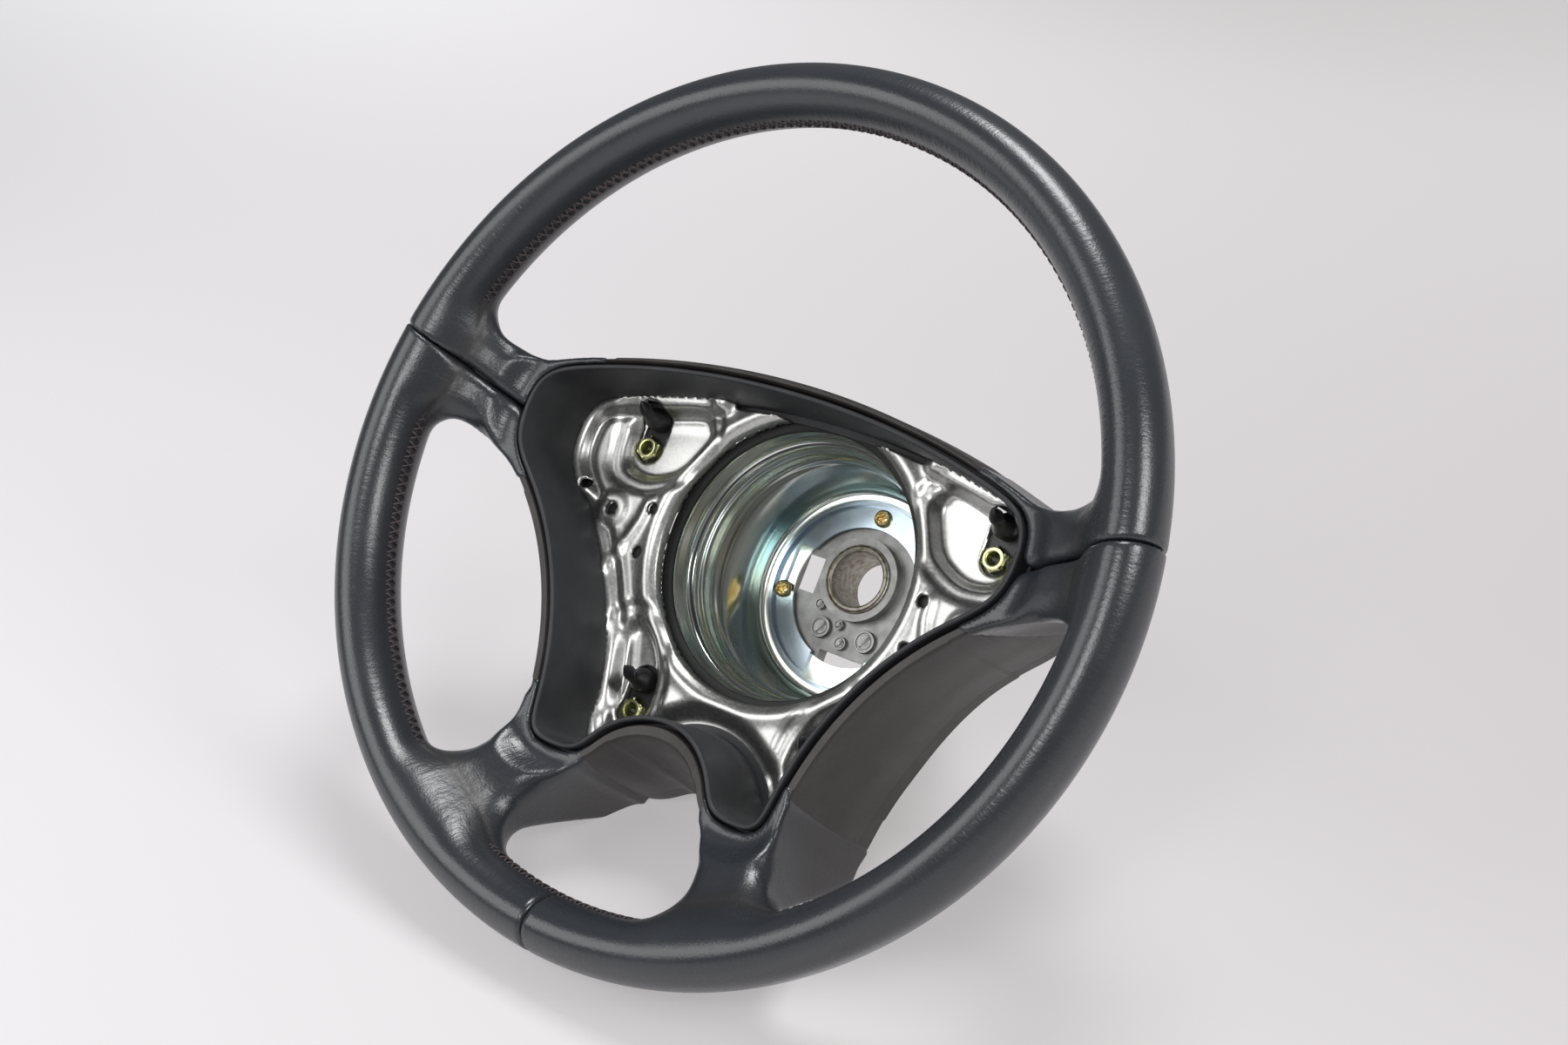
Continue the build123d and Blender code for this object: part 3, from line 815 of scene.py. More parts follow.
@dataclass
class CavityOutline:
    """Four-lobed outline of the airbag cavity, shared by the walls, the plate and the padding."""

    half_width: float = 127.0
    top_z: float = 56.4
    shoulder_z: float = 34.4
    elbow_z: float = 2.0
    waist: Pair = (79.0, -50.0)
    foot_outer_x: float = 61.0
    foot_inner_x: float = 37.0
    foot_z: float = -115.0
    notch_z: float = -88.0
    corner_softening: float = 6.0
    shoulder_softening: float = 8.0
    shoulder_span: Pair = (-30.0, 0.0)
    count: int = 900
    wall_outer: float = 8.4
    flare: float = 8.0
    flare_span: Pair = (5.0, -75.0)
    flare_depth: Pair = (26.0, 92.0)
    notch_flare: float = 13.0
    notch_span: Pair = (-60.0, -84.0)
    notch_sides: Pair = (42.0, 22.0)
    top_thinning: float = 2.4
    top_span: Pair = (0.0, 20.0)
    top_depth: Pair = (44.0, 17.0)
    front_middle: float = 25.2
    front_lean: float = 0.058
    front_round: float = 12.0
    notch_drop: float = 3.5
    notch_drop_width: float = 30.0
    notch_drop_span: Pair = (-70.0, -88.0)
    raster_step: float = 1.0
    raster_reach: float = 70.0
    path: Array = field(init=False)
    normal: Array = field(init=False)
    raster: Raster = field(init=False)

    def __post_init__(self) -> None:
        """Works out the path, its outward normals and a map of distances from it."""
        shoulder = (self.half_width, self.shoulder_z)
        elbow = (self.half_width, self.elbow_z)
        foot_outer = (self.foot_outer_x, self.foot_z)
        foot_inner = (self.foot_inner_x, self.foot_z)
        left = [(-x, z) for x, z in (shoulder, foot_inner)]
        half = np.vstack([
            arc_through(left[0], (0, self.top_z), shoulder)[80:],
            straight(shoulder, elbow)[1:],
            arc_through(elbow, self.waist, foot_outer)[1:],
            straight(foot_outer, foot_inner)[1:],
            arc_through(foot_inner, (0, self.notch_z), left[1])[1:80],
        ])
        whole = np.vstack([half, half[::-1] * np.array([-1.0, 1.0])])
        path = softened(evenly(whole, self.count), self.corner_softening)
        upper = ease(*self.shoulder_span, path[:, 1])[:, None]
        path = path * (1 - upper) + softened(path, self.shoulder_softening) * upper
        self.path = evenly(path, self.count)
        tangent = np.roll(self.path, -1, axis=0) - np.roll(self.path, 1, axis=0)
        tangent /= np.linalg.norm(tangent, axis=1)[:, None]
        self.normal = np.stack([-tangent[:, 1], tangent[:, 0]], axis=1)
        low = (-2.0, self.foot_z - self.raster_reach)
        high = (self.half_width + self.raster_reach, self.top_z + self.raster_reach)
        self.raster = Raster.of(self.exact_distance, low, high, self.raster_step)

    def exact_distance(self, x: Array, z: Array) -> Array:
        """Signed distance from the path: to its nearest point, and along the normal when close to it.

        Args:
            x: First coordinates of the places.
            z: Second coordinates.

        Returns:
            The distances, negative inside.
        """
        grid = np.stack([x, z], axis=-1).reshape(-1, 2)
        result = np.empty(len(grid))
        for part in np.array_split(np.arange(len(grid)), 24):
            away = grid[part, None] - self.path[None]
            near = (away**2).sum(axis=2).argmin(axis=1)
            here = grid[part] - self.path[near]
            across = (here * self.normal[near]).sum(axis=1)
            far = np.linalg.norm(here, axis=1)
            result[part] = np.where(far < 2.0, across, np.sign(across) * far)
        return result.reshape(x.shape)

    def distance(self, x: Array, z: Array) -> Array:
        """Signed distance from the outline, read from the map of its right half."""
        return self.raster.read(np.abs(x), z)

    def wall(self, points: Array) -> Array:
        """Offset of the outer wall from the outline: it flares towards the rear, most in the notch.

        Args:
            points: Points to measure at.

        Returns:
            The offsets.
        """
        side, station, z = np.abs(points[:, 0]), points[:, 1], points[:, 2]
        start, end = self.flare_depth
        depth = np.clip((station - start) / (end - start), 0.0, 1.0)
        below = ease(*self.flare_span, z)
        notch = ease(*self.notch_span, z) * ease(*self.notch_sides, side)
        thin = self.top_thinning * ease(*self.top_span, z) * ease(*self.top_depth, station)
        return self.wall_outer - thin + depth * (self.flare * below + self.notch_flare * notch)

    def front(self, x: Array, z: Array) -> Array:
        """Station of the liner's front edge: deepest in the middle and deeper again in the notch."""
        bow = self.front_middle - self.front_lean * np.sqrt(x**2 + self.front_round**2)
        return bow + self.notch_drop * bell(x, self.notch_drop_width) * ease(*self.notch_drop_span, z)


class Section(Enum):
    """The three sewn sections of the padding."""

    TOP = "grip_top"
    LOWER_LEFT = "grip_lower_left"
    LOWER_RIGHT = "grip_lower_right"


@dataclass(frozen=True)
class SpokeForm:
    """One spoke: its direction from the pot's centre, its two edges and its depth along the way."""

    angle: float
    reach: float
    ring: float
    upper_edge: tuple[Pair, ...]
    lower_edge: tuple[Pair, ...]
    front: tuple[float, float, float, float]
    rear: Pair
    rise: Pair
    edge_softness: float = 5.0
    draft: float = 0.0
    root: float = 14.0
    level_root: float = 8.0

    def local(self, points: Array, pot_z: float) -> tuple[Array, Array]:
        """Turns points into the spoke's own directions.

        Args:
            points: Points to measure.
            pot_z: Height of the pot's centre.

        Returns:
            Distance along the spoke and across it.
        """
        c, s = math.cos(math.radians(self.angle)), math.sin(math.radians(self.angle))
        x, z = np.abs(points[:, 0]), points[:, 2] - pot_z
        return x * c + z * s, z * c - x * s

    def along(self, values: tuple[float, ...], at: Array) -> Array:
        """Cubic through four values spread from the cavity to the ring."""
        knots = np.linspace(self.reach, self.ring, len(values))
        return np.polyval(np.polyfit(knots - self.reach, values, len(values) - 1), at - self.reach)

    def edge(self, knots: tuple[Pair, ...], at: Array) -> tuple[Array, Array]:
        """Place of an edge across the spoke, and its slope: straight runs through the knots, blurred.

        Args:
            knots: Distances along and across the spoke.
            at: Distances along the spoke.

        Returns:
            The edge's distance across the spoke and its slope at each of those distances.
        """
        grid = np.linspace(knots[0][0] - 10.0, knots[-1][0] + 10.0, 160)
        rough = np.interp(grid, *np.array(knots).T)
        near = np.exp(-(((grid[:, None] - grid) / self.edge_softness) ** 2))
        smooth = near / near.sum(axis=1, keepdims=True) @ rough
        return np.interp(at, grid, smooth), np.interp(at, grid, np.gradient(smooth, grid))

    def plan(self, points: Array, pot_z: float) -> Array:
        """Distance outside the spoke's shape seen along the column: between its edges, from the cavity on.

        Args:
            points: Points to measure.
            pot_z: Height of the pot's centre.

        Returns:
            The distances, negative inside.
        """
        at, across = self.local(points, pot_z)
        high, high_slope = self.edge(self.upper_edge, at)
        low, low_slope = self.edge(self.lower_edge, at)
        low = low + self.draft * lean_depth(points)
        above = (across - high) / np.sqrt(1.0 + high_slope**2)
        below = (low - across) / np.sqrt(1.0 + low_slope**2)
        return np.maximum(np.maximum(above, below), self.reach - self.root - at)

    def depth(self, points: Array, pot_z: float) -> tuple[Array, Array, Array]:
        """Stations of the spoke's front and rear; the rear rises smoothly from the cavity to the ring.

        Args:
            points: Points to measure.
            pot_z: Height of the pot's centre.

        Returns:
            The front, the rear and the rear's steepness.
        """
        at = np.clip(self.local(points, pot_z)[0], self.reach - self.level_root, self.ring)
        start, end = self.rise
        climb = self.rear[1] - self.rear[0]
        rear = self.rear[0] + climb * ease(start, end, at)
        share = np.clip((at - start) / (end - start), 0.0, 1.0)
        slope = climb * 6.0 * share * (1.0 - share) / (end - start)
        return self.along(self.front, at), rear, np.sqrt(1.0 + slope**2)


@dataclass
class Padding:
    """Leather-covered rim, spokes and lobes, sewn from three sections."""

    place: WheelFrame
    outline: CavityOutline
    finish: Hide = field(default_factory=Hide)
    rim_radius: float = 180.0
    rim_half_width: float = 12.5
    rim_half_depth: float = 17.0
    rim_blend: Pair = (3.0, 19.0)
    rim_blend_span: Pair = (14.0, -17.0)
    ring_trim: float = 4.0
    seam_gap: float = 0.5
    seam_round: float = 1.6
    spoke_seam_round: float = 6.5
    spoke_seam_span: Pair = (-10.0, -22.0)
    seam_drop: float = -28.4
    seam_slope: float = 0.34
    stitch_station: float = 1.0
    stitch_groove: float = 0.7
    stitch_groove_width: float = 1.1
    cavity_gap: float = 3.4
    cavity_gap_round: float = 1.0
    lobe_rear: float = 92.4
    wall_blend: float = 5.0
    band_setback: float = 1.0
    band_step: float = 0.6
    band_rise: Pair = (5.0, 17.0)
    band_end: Pair = (10.0, 18.0)
    front_corner: Pair = (2.0, 11.0)
    front_corner_span: Pair = (7.0, 22.0)
    rear_corner: float = 3.5
    corner_change: float = 8.0
    pitch: float = 1.6
    net_margin: float = 3.0
    top_from: float = -34.0
    lower_to: float = 44.0
    crease_reach: float = 12.0
    crease_start: Pair = (-5.0, 10.0)
    crease_end: Pair = (-2.0, -20.0)
    # Strength, width and edge of the painted shade beside the stitches.
    stitch_shade: float = 0.75
    stitch_shade_width: float = 5.0
    stitch_shade_edge: Pair = (-6.0, -11.0)
    upper_lobe: Triple = (-3.1, 30.0, 0.13)
    lower_lobe: Triple = (-73.0, -53.2, 0.0)
    upper: SpokeForm = SpokeForm(
        angle=12.0, reach=129.8, ring=181.4,
        upper_edge=((110.0, 30.5), (120.0, 26.0), (128.0, 22.8), (137.0, 20.1), (145.0, 18.7), (153.0, 18.7),
                    (165.0, 20.0)),
        lower_edge=((105.0, -29.0), (116.0, -28.4), (126.0, -27.8), (135.0, -26.2), (142.0, -24.2),
                    (150.0, -23.0), (165.0, -24.0)),
        front=(17.0, 10.0, 2.0, -6.0), rear=(92.0, 14.0), rise=(126.0, 162.0), draft=0.3)
    lower: SpokeForm = SpokeForm(
        angle=-63.0, reach=121.5, ring=173.1,
        upper_edge=((104.0, 25.0), (110.0, 22.4), (116.0, 19.4), (122.0, 17.0), (130.0, 15.6), (138.0, 14.8),
                    (145.0, 14.8), (160.0, 17.5)),
        lower_edge=((106.0, -21.6), (112.0, -21.2), (118.0, -20.9), (128.0, -20.0), (139.0, -19.6),
                    (149.0, -21.5), (160.0, -27.0)),
        front=(19.5, 11.0, 0.5, -8.0), rear=(94.0, 14.0), rise=(135.0, 162.0))

    def rim(self, points: Array) -> Array:
        """Oval tube: distance from an ellipse round the ring's centreline, with a sewn groove inside.

        Args:
            points: Points to measure.

        Returns:
            The field.
        """
        radial = np.hypot(points[:, 0], points[:, 2]) - self.rim_radius
        u, v = radial / self.rim_half_width, points[:, 1] / self.rim_half_depth
        near = np.sqrt(u**2 + v**2)
        slope = np.sqrt((u / self.rim_half_width) ** 2 + (v / self.rim_half_depth) ** 2)
        tube = near * (near - 1) / np.maximum(slope, 1e-6)
        groove = bell(points[:, 1] - self.stitch_station, self.stitch_groove_width) * (radial < 0)
        return tube + self.stitch_groove * groove

    def arm(self, points: Array, spoke: SpokeForm, wedge: Triple, distance: Array) -> Array:
        """One spoke with the cavity wall that it wraps: a plan shape between a front and a rear surface.

        Near the cavity the front is level with the liner, and one step higher past the band. The edges are
        rounded, tightly at the cavity wall and widely on the spoke.

        Args:
            points: Points to measure.
            spoke: The spoke's form.
            wedge: Turns in degrees between which the wall is wrapped, and the first one's lean per mm.
            distance: Distance of the points from the cavity's outline.

        Returns:
            The field.
        """
        wall = np.maximum(distance - self.outline.wall(points), self.wedge_outside(points, wedge))
        plan = smooth_min(spoke.plan(points, self.place.pot_z), wall, self.wall_blend)
        high, rear, steep = spoke.depth(points, self.place.pot_z)
        level = self.outline.front(points[:, 0], points[:, 2]) + self.band_setback
        front = level + (high + self.band_step - level) * ease(*self.band_rise, distance)
        front = front - self.band_step * ease(*self.band_end, distance)
        ahead = front - points[:, 1]
        behind = (points[:, 1] - np.minimum(rear, self.lobe_rear)) / steep
        tight, wide = self.front_corner
        corner = tight + (wide - tight) * ease(*self.front_corner_span, distance)
        in_front = ease(-self.corner_change, self.corner_change, ahead - behind)
        corner = self.rear_corner + (corner - self.rear_corner) * in_front
        u = plan + corner
        v = np.maximum(ahead, behind) + corner
        side = np.hypot(np.maximum(u, 0.0), np.maximum(v, 0.0)) + np.minimum(np.maximum(u, v), 0.0) - corner
        return smooth_max(side, np.hypot(points[:, 0], points[:, 2]) - self.rim_radius, self.ring_trim)

    def whole(self, points: Array) -> Array:
        """Whole padding: rim joined to spokes and lobes, less the cavity's core.

        Args:
            points: Points to measure.

        Returns:
            The field.
        """
        distance = self.outline.distance(points[:, 0], points[:, 2])
        radius = np.hypot(points[:, 0], points[:, 2])
        outer, inner = (self.rim_radius + step for step in self.rim_blend_span)
        tight, wide = self.rim_blend
        reach = tight + (wide - tight) * ease(outer, inner, radius)
        body = self.rim(points)
        for spoke, wedge in ((self.upper, self.upper_lobe), (self.lower, self.lower_lobe)):
            body = smooth_min(body, self.arm(points, spoke, wedge, distance), reach)
        return smooth_max(body, self.cavity_gap - distance, self.cavity_gap_round)

    def wedge_outside(self, points: Array, wedge: Triple) -> Array:
        """Distance outside a lobe's wedge.

        Args:
            points: Points to measure.
            wedge: First and last turn in degrees, and the first one's lean per mm of depth.

        Returns:
            The distances, negative inside.
        """
        x, z = np.abs(points[:, 0]), points[:, 2] - self.place.pot_z
        first = np.radians(wedge[0] + wedge[2] * lean_depth(points))
        last = math.radians(wedge[1])
        return np.maximum(x * np.sin(first) - z * np.cos(first), z * math.cos(last) - x * math.sin(last))

    def seam(self, points: Array, section: Section) -> Array:
        """Distance outside a section's share of the wheel, past the slanted seams.

        Args:
            points: Points to measure.
            section: The section.

        Returns:
            The distances, negative inside.
        """
        tilt = math.hypot(1.0, self.seam_slope)
        above = (points[:, 2] - self.seam_drop - self.seam_slope * np.abs(points[:, 0])) / tilt
        if section is Section.TOP:
            return -above
        return np.maximum(above, -points[:, 0])

    def section_field(self, section: Section) -> Field:
        """Field of one sewn section, with its edges rolled into the seams.

        Args:
            section: The section.

        Returns:
            A function of points.
        """
        outer, inner = (self.rim_radius + step for step in self.spoke_seam_span)

        def cut(points: Array) -> Array:
            """Cuts the padding's field back half a gap from the seams.

            Args:
                points: Points to measure.

            Returns:
                The field.
            """
            on_spoke = ease(outer, inner, np.hypot(points[:, 0], points[:, 2]))
            roll = self.seam_round + (self.spoke_seam_round - self.seam_round) * on_spoke
            return smooth_max(self.whole(points), self.seam(points, section) + self.seam_gap / 2, roll)

        return cut

    def build(self) -> None:
        """Makes the three sections and dresses them; the lower left one mirrors the lower right."""
        net = Net(pitch=self.pitch)
        outer = self.rim_radius + self.rim_half_width + self.net_margin
        ahead = -self.rim_half_depth - self.net_margin
        behind = self.lobe_rear + self.net_margin + 1.0
        top = net.shape(self.section_field(Section.TOP), (-outer, ahead, self.top_from),
                        (outer, behind, outer))
        right = net.shape(self.section_field(Section.LOWER_RIGHT), (-self.net_margin, ahead, -outer),
                          (outer, behind, self.lower_to))
        material = self.finish.material()
        shapes = {Section.TOP: top, Section.LOWER_RIGHT: right, Section.LOWER_LEFT: mirrored(right)}
        for section, shape in shapes.items():
            name = section.value
            piece = make_piece(self.place, "leather_" + name, shape, material, (name,))
            self.map_surface(piece, shape[0])

    def map_surface(self, piece: bpy.types.Object, points: Array) -> None:
        """Stores the rim's own coordinates, the bunched places and the band of painted shade beside the
        stitches on a section.

        Args:
            piece: The section.
            points: Its vertices.
        """
        radial = np.hypot(points[:, 0], points[:, 2]) - self.rim_radius
        set_values(piece, "along", np.arctan2(points[:, 0], points[:, 2]) * self.rim_radius)
        set_values(piece, "station", points[:, 1])
        set_values(piece, "radial", radial)
        crease = np.zeros(len(points))
        for spoke in (self.upper, self.lower):
            at, _ = spoke.local(points, self.place.pot_z)
            near = bell(np.maximum(spoke.plan(points, self.place.pot_z), 0.0), self.crease_reach)
            begun = ease(*(spoke.reach + step for step in self.crease_start), at)
            ended = ease(*(spoke.ring + step for step in self.crease_end), at)
            crease = np.maximum(crease, near * begun * ended)
        set_values(piece, "crease", crease)
        # Painted shade along the stitches on the rim's inner face.
        sewn = bell(points[:, 1] - self.stitch_station, self.stitch_shade_width) * ease(*self.stitch_shade_edge, radial)
        set_values(piece, "stitch_shade", self.stitch_shade * sewn)


@dataclass
class CavityWalls:
    """Liner inside the cavity and the brown skirt round it."""

    place: WheelFrame
    outline: CavityOutline
    lobes: tuple[Triple, ...]
    liner_finish: Moulding = Moulding("liner_plastic", (0.026, 0.027, 0.03), (0.034, 0.035, 0.038),
                                      roughness=0.5)
    skirt_finish: Moulding = Moulding("skirt_plastic", (0.036, 0.031, 0.03), (0.05, 0.045, 0.043),
                                      roughness=0.48, grain=0.06, pleats=0.3)
    liner_wall: float = 2.2
    liner_rear: float = 70.0
    flange: float = 3.0
    flange_wall: float = 1.5
    shelf_depth: float = 11.0
    shelf_wall: float = 2.0
    skirt_inner: float = 3.6
    skirt_setback: float = 1.4
    joint_step: float = 0.5
    joint_turns: Pair = (-0.3, 0.2)
    lip_front: float = 81.0
    lip_rear: float = 92.0
    lip_inset: float = 1.2
    tuck_depth: float = 12.0
    tuck_turns: Pair = (2.8, 4.2)

    def fronts(self) -> Array:
        """Station of the liner's front edge at each point of the outline, as a column."""
        return self.outline.front(self.outline.path[:, 0], self.outline.path[:, 1])[:, None]

    def swept(self, offset: Array, station: Array) -> Shape:
        """Carries a closed profile round the outline: the point is path + offset * normal, at its station.

        Args:
            offset: Distance outside the outline, for each path point or for all, and each profile row.
            station: Station of each path point and profile row.

        Returns:
            Points and faces.
        """
        path, normal = self.outline.path, self.outline.normal
        flat = path[:, None] + offset[..., None] * normal[:, None]
        points = np.stack([flat[..., 0], station, flat[..., 1]], axis=2)
        return points.reshape(-1, 3), [strip_faces(len(path), station.shape[1], True, True)]

    def liner(self) -> None:
        """Makes the liner: a thin wall with a rolled front edge, a shelf under the groove and a rear flange.

        Each row is an offset, a depth and whether that depth is a station or counts from the front edge.
        """
        wall, rear, shelf = self.liner_wall, self.liner_rear, self.shelf_depth
        reach, inside = self.skirt_inner - 0.1, rear - self.flange_wall
        rows = [(-self.flange, rear, 1), (-self.flange, inside, 1), (0, inside, 1), (0, 1.4, 0),
                (0.15, 0.6, 0), (0.5, 0.15, 0), (1.1, 0.0, 0), (1.7, 0.15, 0), (wall - 0.15, 0.6, 0),
                (wall, 1.4, 0),
                (wall, shelf, 0), (reach, shelf, 0), (reach, shelf + self.shelf_wall, 0),
                (wall, shelf + self.shelf_wall, 0), (wall, rear, 1)]
        offset, depth, held = np.array(rows, float)[::-1].T
        shape = self.swept(offset[None], np.where(held > 0.5, depth, self.fronts() + depth))
        make_piece(self.place, "cavity_lining", shape, self.liner_finish.material(),
                   replaced=("cavity_liner",), sharp_angle=50.0)

    def tuck(self, early: float, late: float) -> Array:
        """Share, along the outline, by which the skirt hides under the padding.

        Args:
            early: Degrees inside a lobe's end at which it starts to hide.
            late: Degrees inside the end at which it is hidden.

        Returns:
            A column of shares: 0 between the lobes, 1 in them.
        """
        path = self.outline.path
        turn = np.degrees(np.arctan2(path[:, 1] - self.place.pot_z, np.abs(path[:, 0])))
        hidden = np.zeros(len(path))
        for low, high, _ in self.lobes:
            inside = ease(low + early, low + late, turn) * ease(high - early, high - late, turn)
            hidden = np.maximum(hidden, inside)
        return hidden[:, None]

    def skirt(self) -> None:
        """Makes the skirt: a flared wall that dips under the lobes, and a rear lip that steps in.

        Each row is an offset, a depth, whether that depth is a station, and whether the offset counts from
        the outer wall. Inside the lobes the front edge drops back and the outer face moves into the padding.
        """
        inner, front, inset = self.skirt_inner, self.skirt_setback, self.lip_inset
        rows = [(inner, self.lip_rear, 1, 0), (inner, 60.0, 1, 0), (inner, front + 2.0, 0, 0),
                (inner + 0.3, front + 0.8, 0, 0), (inner + 0.9, front, 0, 0), (-1.0, front + 0.1, 0, 1),
                (-0.4, front + 0.9, 0, 1), (0.0, front + 2.4, 0, 1), (0.0, 45.0, 1, 1), (0.0, 62.0, 1, 1),
                (0.0, self.lip_front - 0.6, 1, 1), (-0.4, self.lip_front, 1, 1),
                (-inset, self.lip_front + 0.4, 1, 1), (-inset, self.lip_rear - 1, 1, 1),
                (-inset - 1, self.lip_rear, 1, 1)]
        offset, depth, held, outside = np.array(rows, float)[::-1].T
        dropped = self.fronts() + depth + self.tuck_depth * self.tuck(*self.tuck_turns)
        station = np.where(held > 0.5, depth, dropped)
        path = self.outline.path
        spots = np.stack(np.broadcast_arrays(path[:, :1], station, path[:, 1:]), axis=2).reshape(-1, 3)
        set_in = self.joint_step * self.tuck(*self.joint_turns)
        wall = self.outline.wall(spots).reshape(station.shape) - set_in
        shape = self.swept(offset + outside * wall, station)
        make_piece(self.place, "skirt_shell", shape, self.skirt_finish.material(),
                   replaced=("rear_skirt",), sharp_angle=40.0)

    def build(self) -> None:
        """Makes both walls."""
        self.liner()
        self.skirt()


@dataclass
class CarrierSheet:
    """Stamped sheet across the cavity: four sunk pads, hems, swages, holes and a rolled edge at the pot."""

    place: WheelFrame
    outline: CavityOutline
    finish: Galvanised = field(default_factory=Galvanised)
    # Near-black drums behind the holes stand in for the shade seen through them.
    hole_shade_finish: Moulding = Moulding("hole_shade_black", (0.01, 0.01, 0.011), (0.018, 0.018, 0.019),
                                     roughness=0.5)
    middle: float = 64.0
    thickness: float = 2.0
    edge_round: float = 0.6
    edge_bite: float = 0.4
    top_gap: float = 3.0
    open_side: Pair = (51.5, 50.0)
    open_above: Pair = (0.0, 10.0)
    pitch: float = 1.0
    softness: float = 1.15
    pad_depth: float = 8.0
    pad_step: float = 2.2
    pad_brim: Pair = (11.0, 7.5)
    pad_wall: Pair = (4.5, -0.5)
    pad_corner: float = 9.0
    hem_rise: float = 5.5
    hem_edge: Pair = (-6.5, -2.5)
    hem_side: Pair = (50.0, 58.0)
    hem_above: Pair = (-12.0, -6.0)
    hem_bead: Triple = (0.9, 10.5, 2.0)
    flank_rise: float = 2.4
    flank_edge: Pair = (-5.0, -2.0)
    flank_side: Pair = (36.0, 46.0)
    flank_below: Pair = (-14.0, -24.0)
    flank_bead: Triple = (1.5, 9.5, 1.7)
    swage_rise: float = 1.8
    swage_width: float = 2.3
    dimple_rise: float = 1.4
    dimple_edge: Pair = (9.5, 6.5)
    notch_drop: float = 6.5
    notch_edge: Pair = (-13.0, -4.0)
    notch_side: Pair = (44.0, 34.0)
    notch_below: Pair = (-64.0, -72.0)
    mouth: float = 64.0
    roll: float = 6.5
    mouth_bead: Triple = (1.2, 5.0, 4.0)
    slot_radius: float = 7.0
    map_low: Pair = (-134.0, -124.0)
    map_high: Pair = (134.0, 66.0)
    map_step: float = 0.5
    net_low: Triple = (-130.0, 54.0, -119.0)
    net_high: Triple = (130.0, 77.0, 61.0)
    upper_pad: tuple[Pair, ...] = ((100, 10), (103, 33), (65.5, 43.5), (60, 36), (71, 15.5), (85, 8.5))
    lower_pad: tuple[Pair, ...] = ((65, -58), (60, -54), (48.5, -62), (41, -77), (39.5, -95.5), (52.5, -98.5),
                                   (59, -85))
    swage: tuple[Pair, ...] = ((76.5, -3.0), (77.5, -12.0), (87.5, -40.7), (83.0, -52.0))
    dimple: Triple = (95.5, -11.0, 3.0)
    holes: tuple[Triple, ...] = ((73.5, -4.8, 2.6), (73.3, -26.0, 2.8), (113.0, -4.0, 2.4), dimple)
    height_map: Raster = field(init=False)
    slope_map: Raster = field(init=False)

    def __post_init__(self) -> None:
        """Samples the sheet's height, softened as by a press, and its steepness once."""
        low, high, step = self.map_low, self.map_high, self.map_step
        height = self.blurred(Raster.of(self.height, low, high, step).values, self.softness / step)
        self.height_map = Raster(height + Raster.of(self.rolled_mouth, low, high, step).values, low, step)
        slope = np.gradient(self.height_map.values, step)
        self.slope_map = Raster(np.sqrt(1 + slope[0] ** 2 + slope[1] ** 2), low, step)

    def height(self, x: Array, z: Array) -> Array:
        """Station of the sheet's middle: flat, plus each stamped form as an eased step or a ridge.

        Args:
            x: First coordinates of the places.
            z: Second coordinates.

        Returns:
            The stations.
        """
        side, edge = np.abs(x), self.outline.distance(x, z)
        deep = np.full(x.shape, self.middle)
        for pad in (self.upper_pad, self.lower_pad):
            away = self.blurred(polygon_distance(side, z, pad), self.pad_corner)
            deep += self.pad_step * ease(*self.pad_brim, away)
            deep += (self.pad_depth - self.pad_step) * ease(*self.pad_wall, away)
        hem = ease(*self.hem_side, side) * ease(*self.hem_above, z)
        flank = ease(*self.flank_below, z) * ease(*self.flank_side, side)
        deep -= hem * self.edge_form(edge, self.hem_rise, self.hem_edge, self.hem_bead)
        deep -= flank * self.edge_form(edge, self.flank_rise, self.flank_edge, self.flank_bead)
        ridge = np.min([segment_distance(side, z, *ends) for ends in zip(self.swage, self.swage[1:])], axis=0)
        deep -= self.swage_rise * bell(ridge, self.swage_width)
        from_dimple = np.hypot(side - self.dimple[0], z - self.dimple[1])
        deep -= self.dimple_rise * ease(*self.dimple_edge, from_dimple)
        notch = ease(*self.notch_below, z) * ease(*self.notch_side, side)
        return deep + self.notch_drop * notch * ease(*self.notch_edge, edge)

    @staticmethod
    def edge_form(edge: Array, rise: float, step: Pair, bead: Triple) -> Array:
        """Raised edge with a bead inside it; the bead is a rise, a distance inside the edge and a width."""
        return rise * ease(*step, edge) + bead[0] * bell(edge + bead[1], bead[2])

    def rolled_mouth(self, x: Array, z: Array) -> Array:
        """Quarter circle by which the sheet turns back at the edge of the pot's hole, inside a raised bead.

        Args:
            x: First coordinates of the places.
            z: Second coordinates.

        Returns:
            Change of the station.
        """
        radius = np.hypot(x, z - self.place.pot_z)
        into = np.clip(self.mouth + self.roll - radius, 0.0, self.roll * 0.985)
        rise, away, width = self.mouth_bead
        bead = rise * bell(radius - self.mouth - away, width)
        return self.roll - np.sqrt(self.roll**2 - into**2) - bead

    @staticmethod
    def blurred(values: Array, width: float) -> Array:
        """Gaussian blur of a grid, by one matrix along each side.

        Args:
            values: Numbers on the grid.
            width: Width of the Gaussian in grid steps.

        Returns:
            The blurred numbers.
        """
        result = values
        for _ in range(2):
            place = np.arange(len(result))
            near = np.exp(-(((place[:, None] - place) / width) ** 2) / 2)
            result = (near / near.sum(axis=1, keepdims=True) @ result).T
        return result

    @staticmethod
    def slots() -> tuple[tuple[Pair, Pair], ...]:
        """Ends of each slot's centreline: a sleeve's place and its peg's."""
        return tuple(((x, z), (x, z + PEG_RISE)) for x, z in (UPPER_SPOT, LOWER_SPOT))

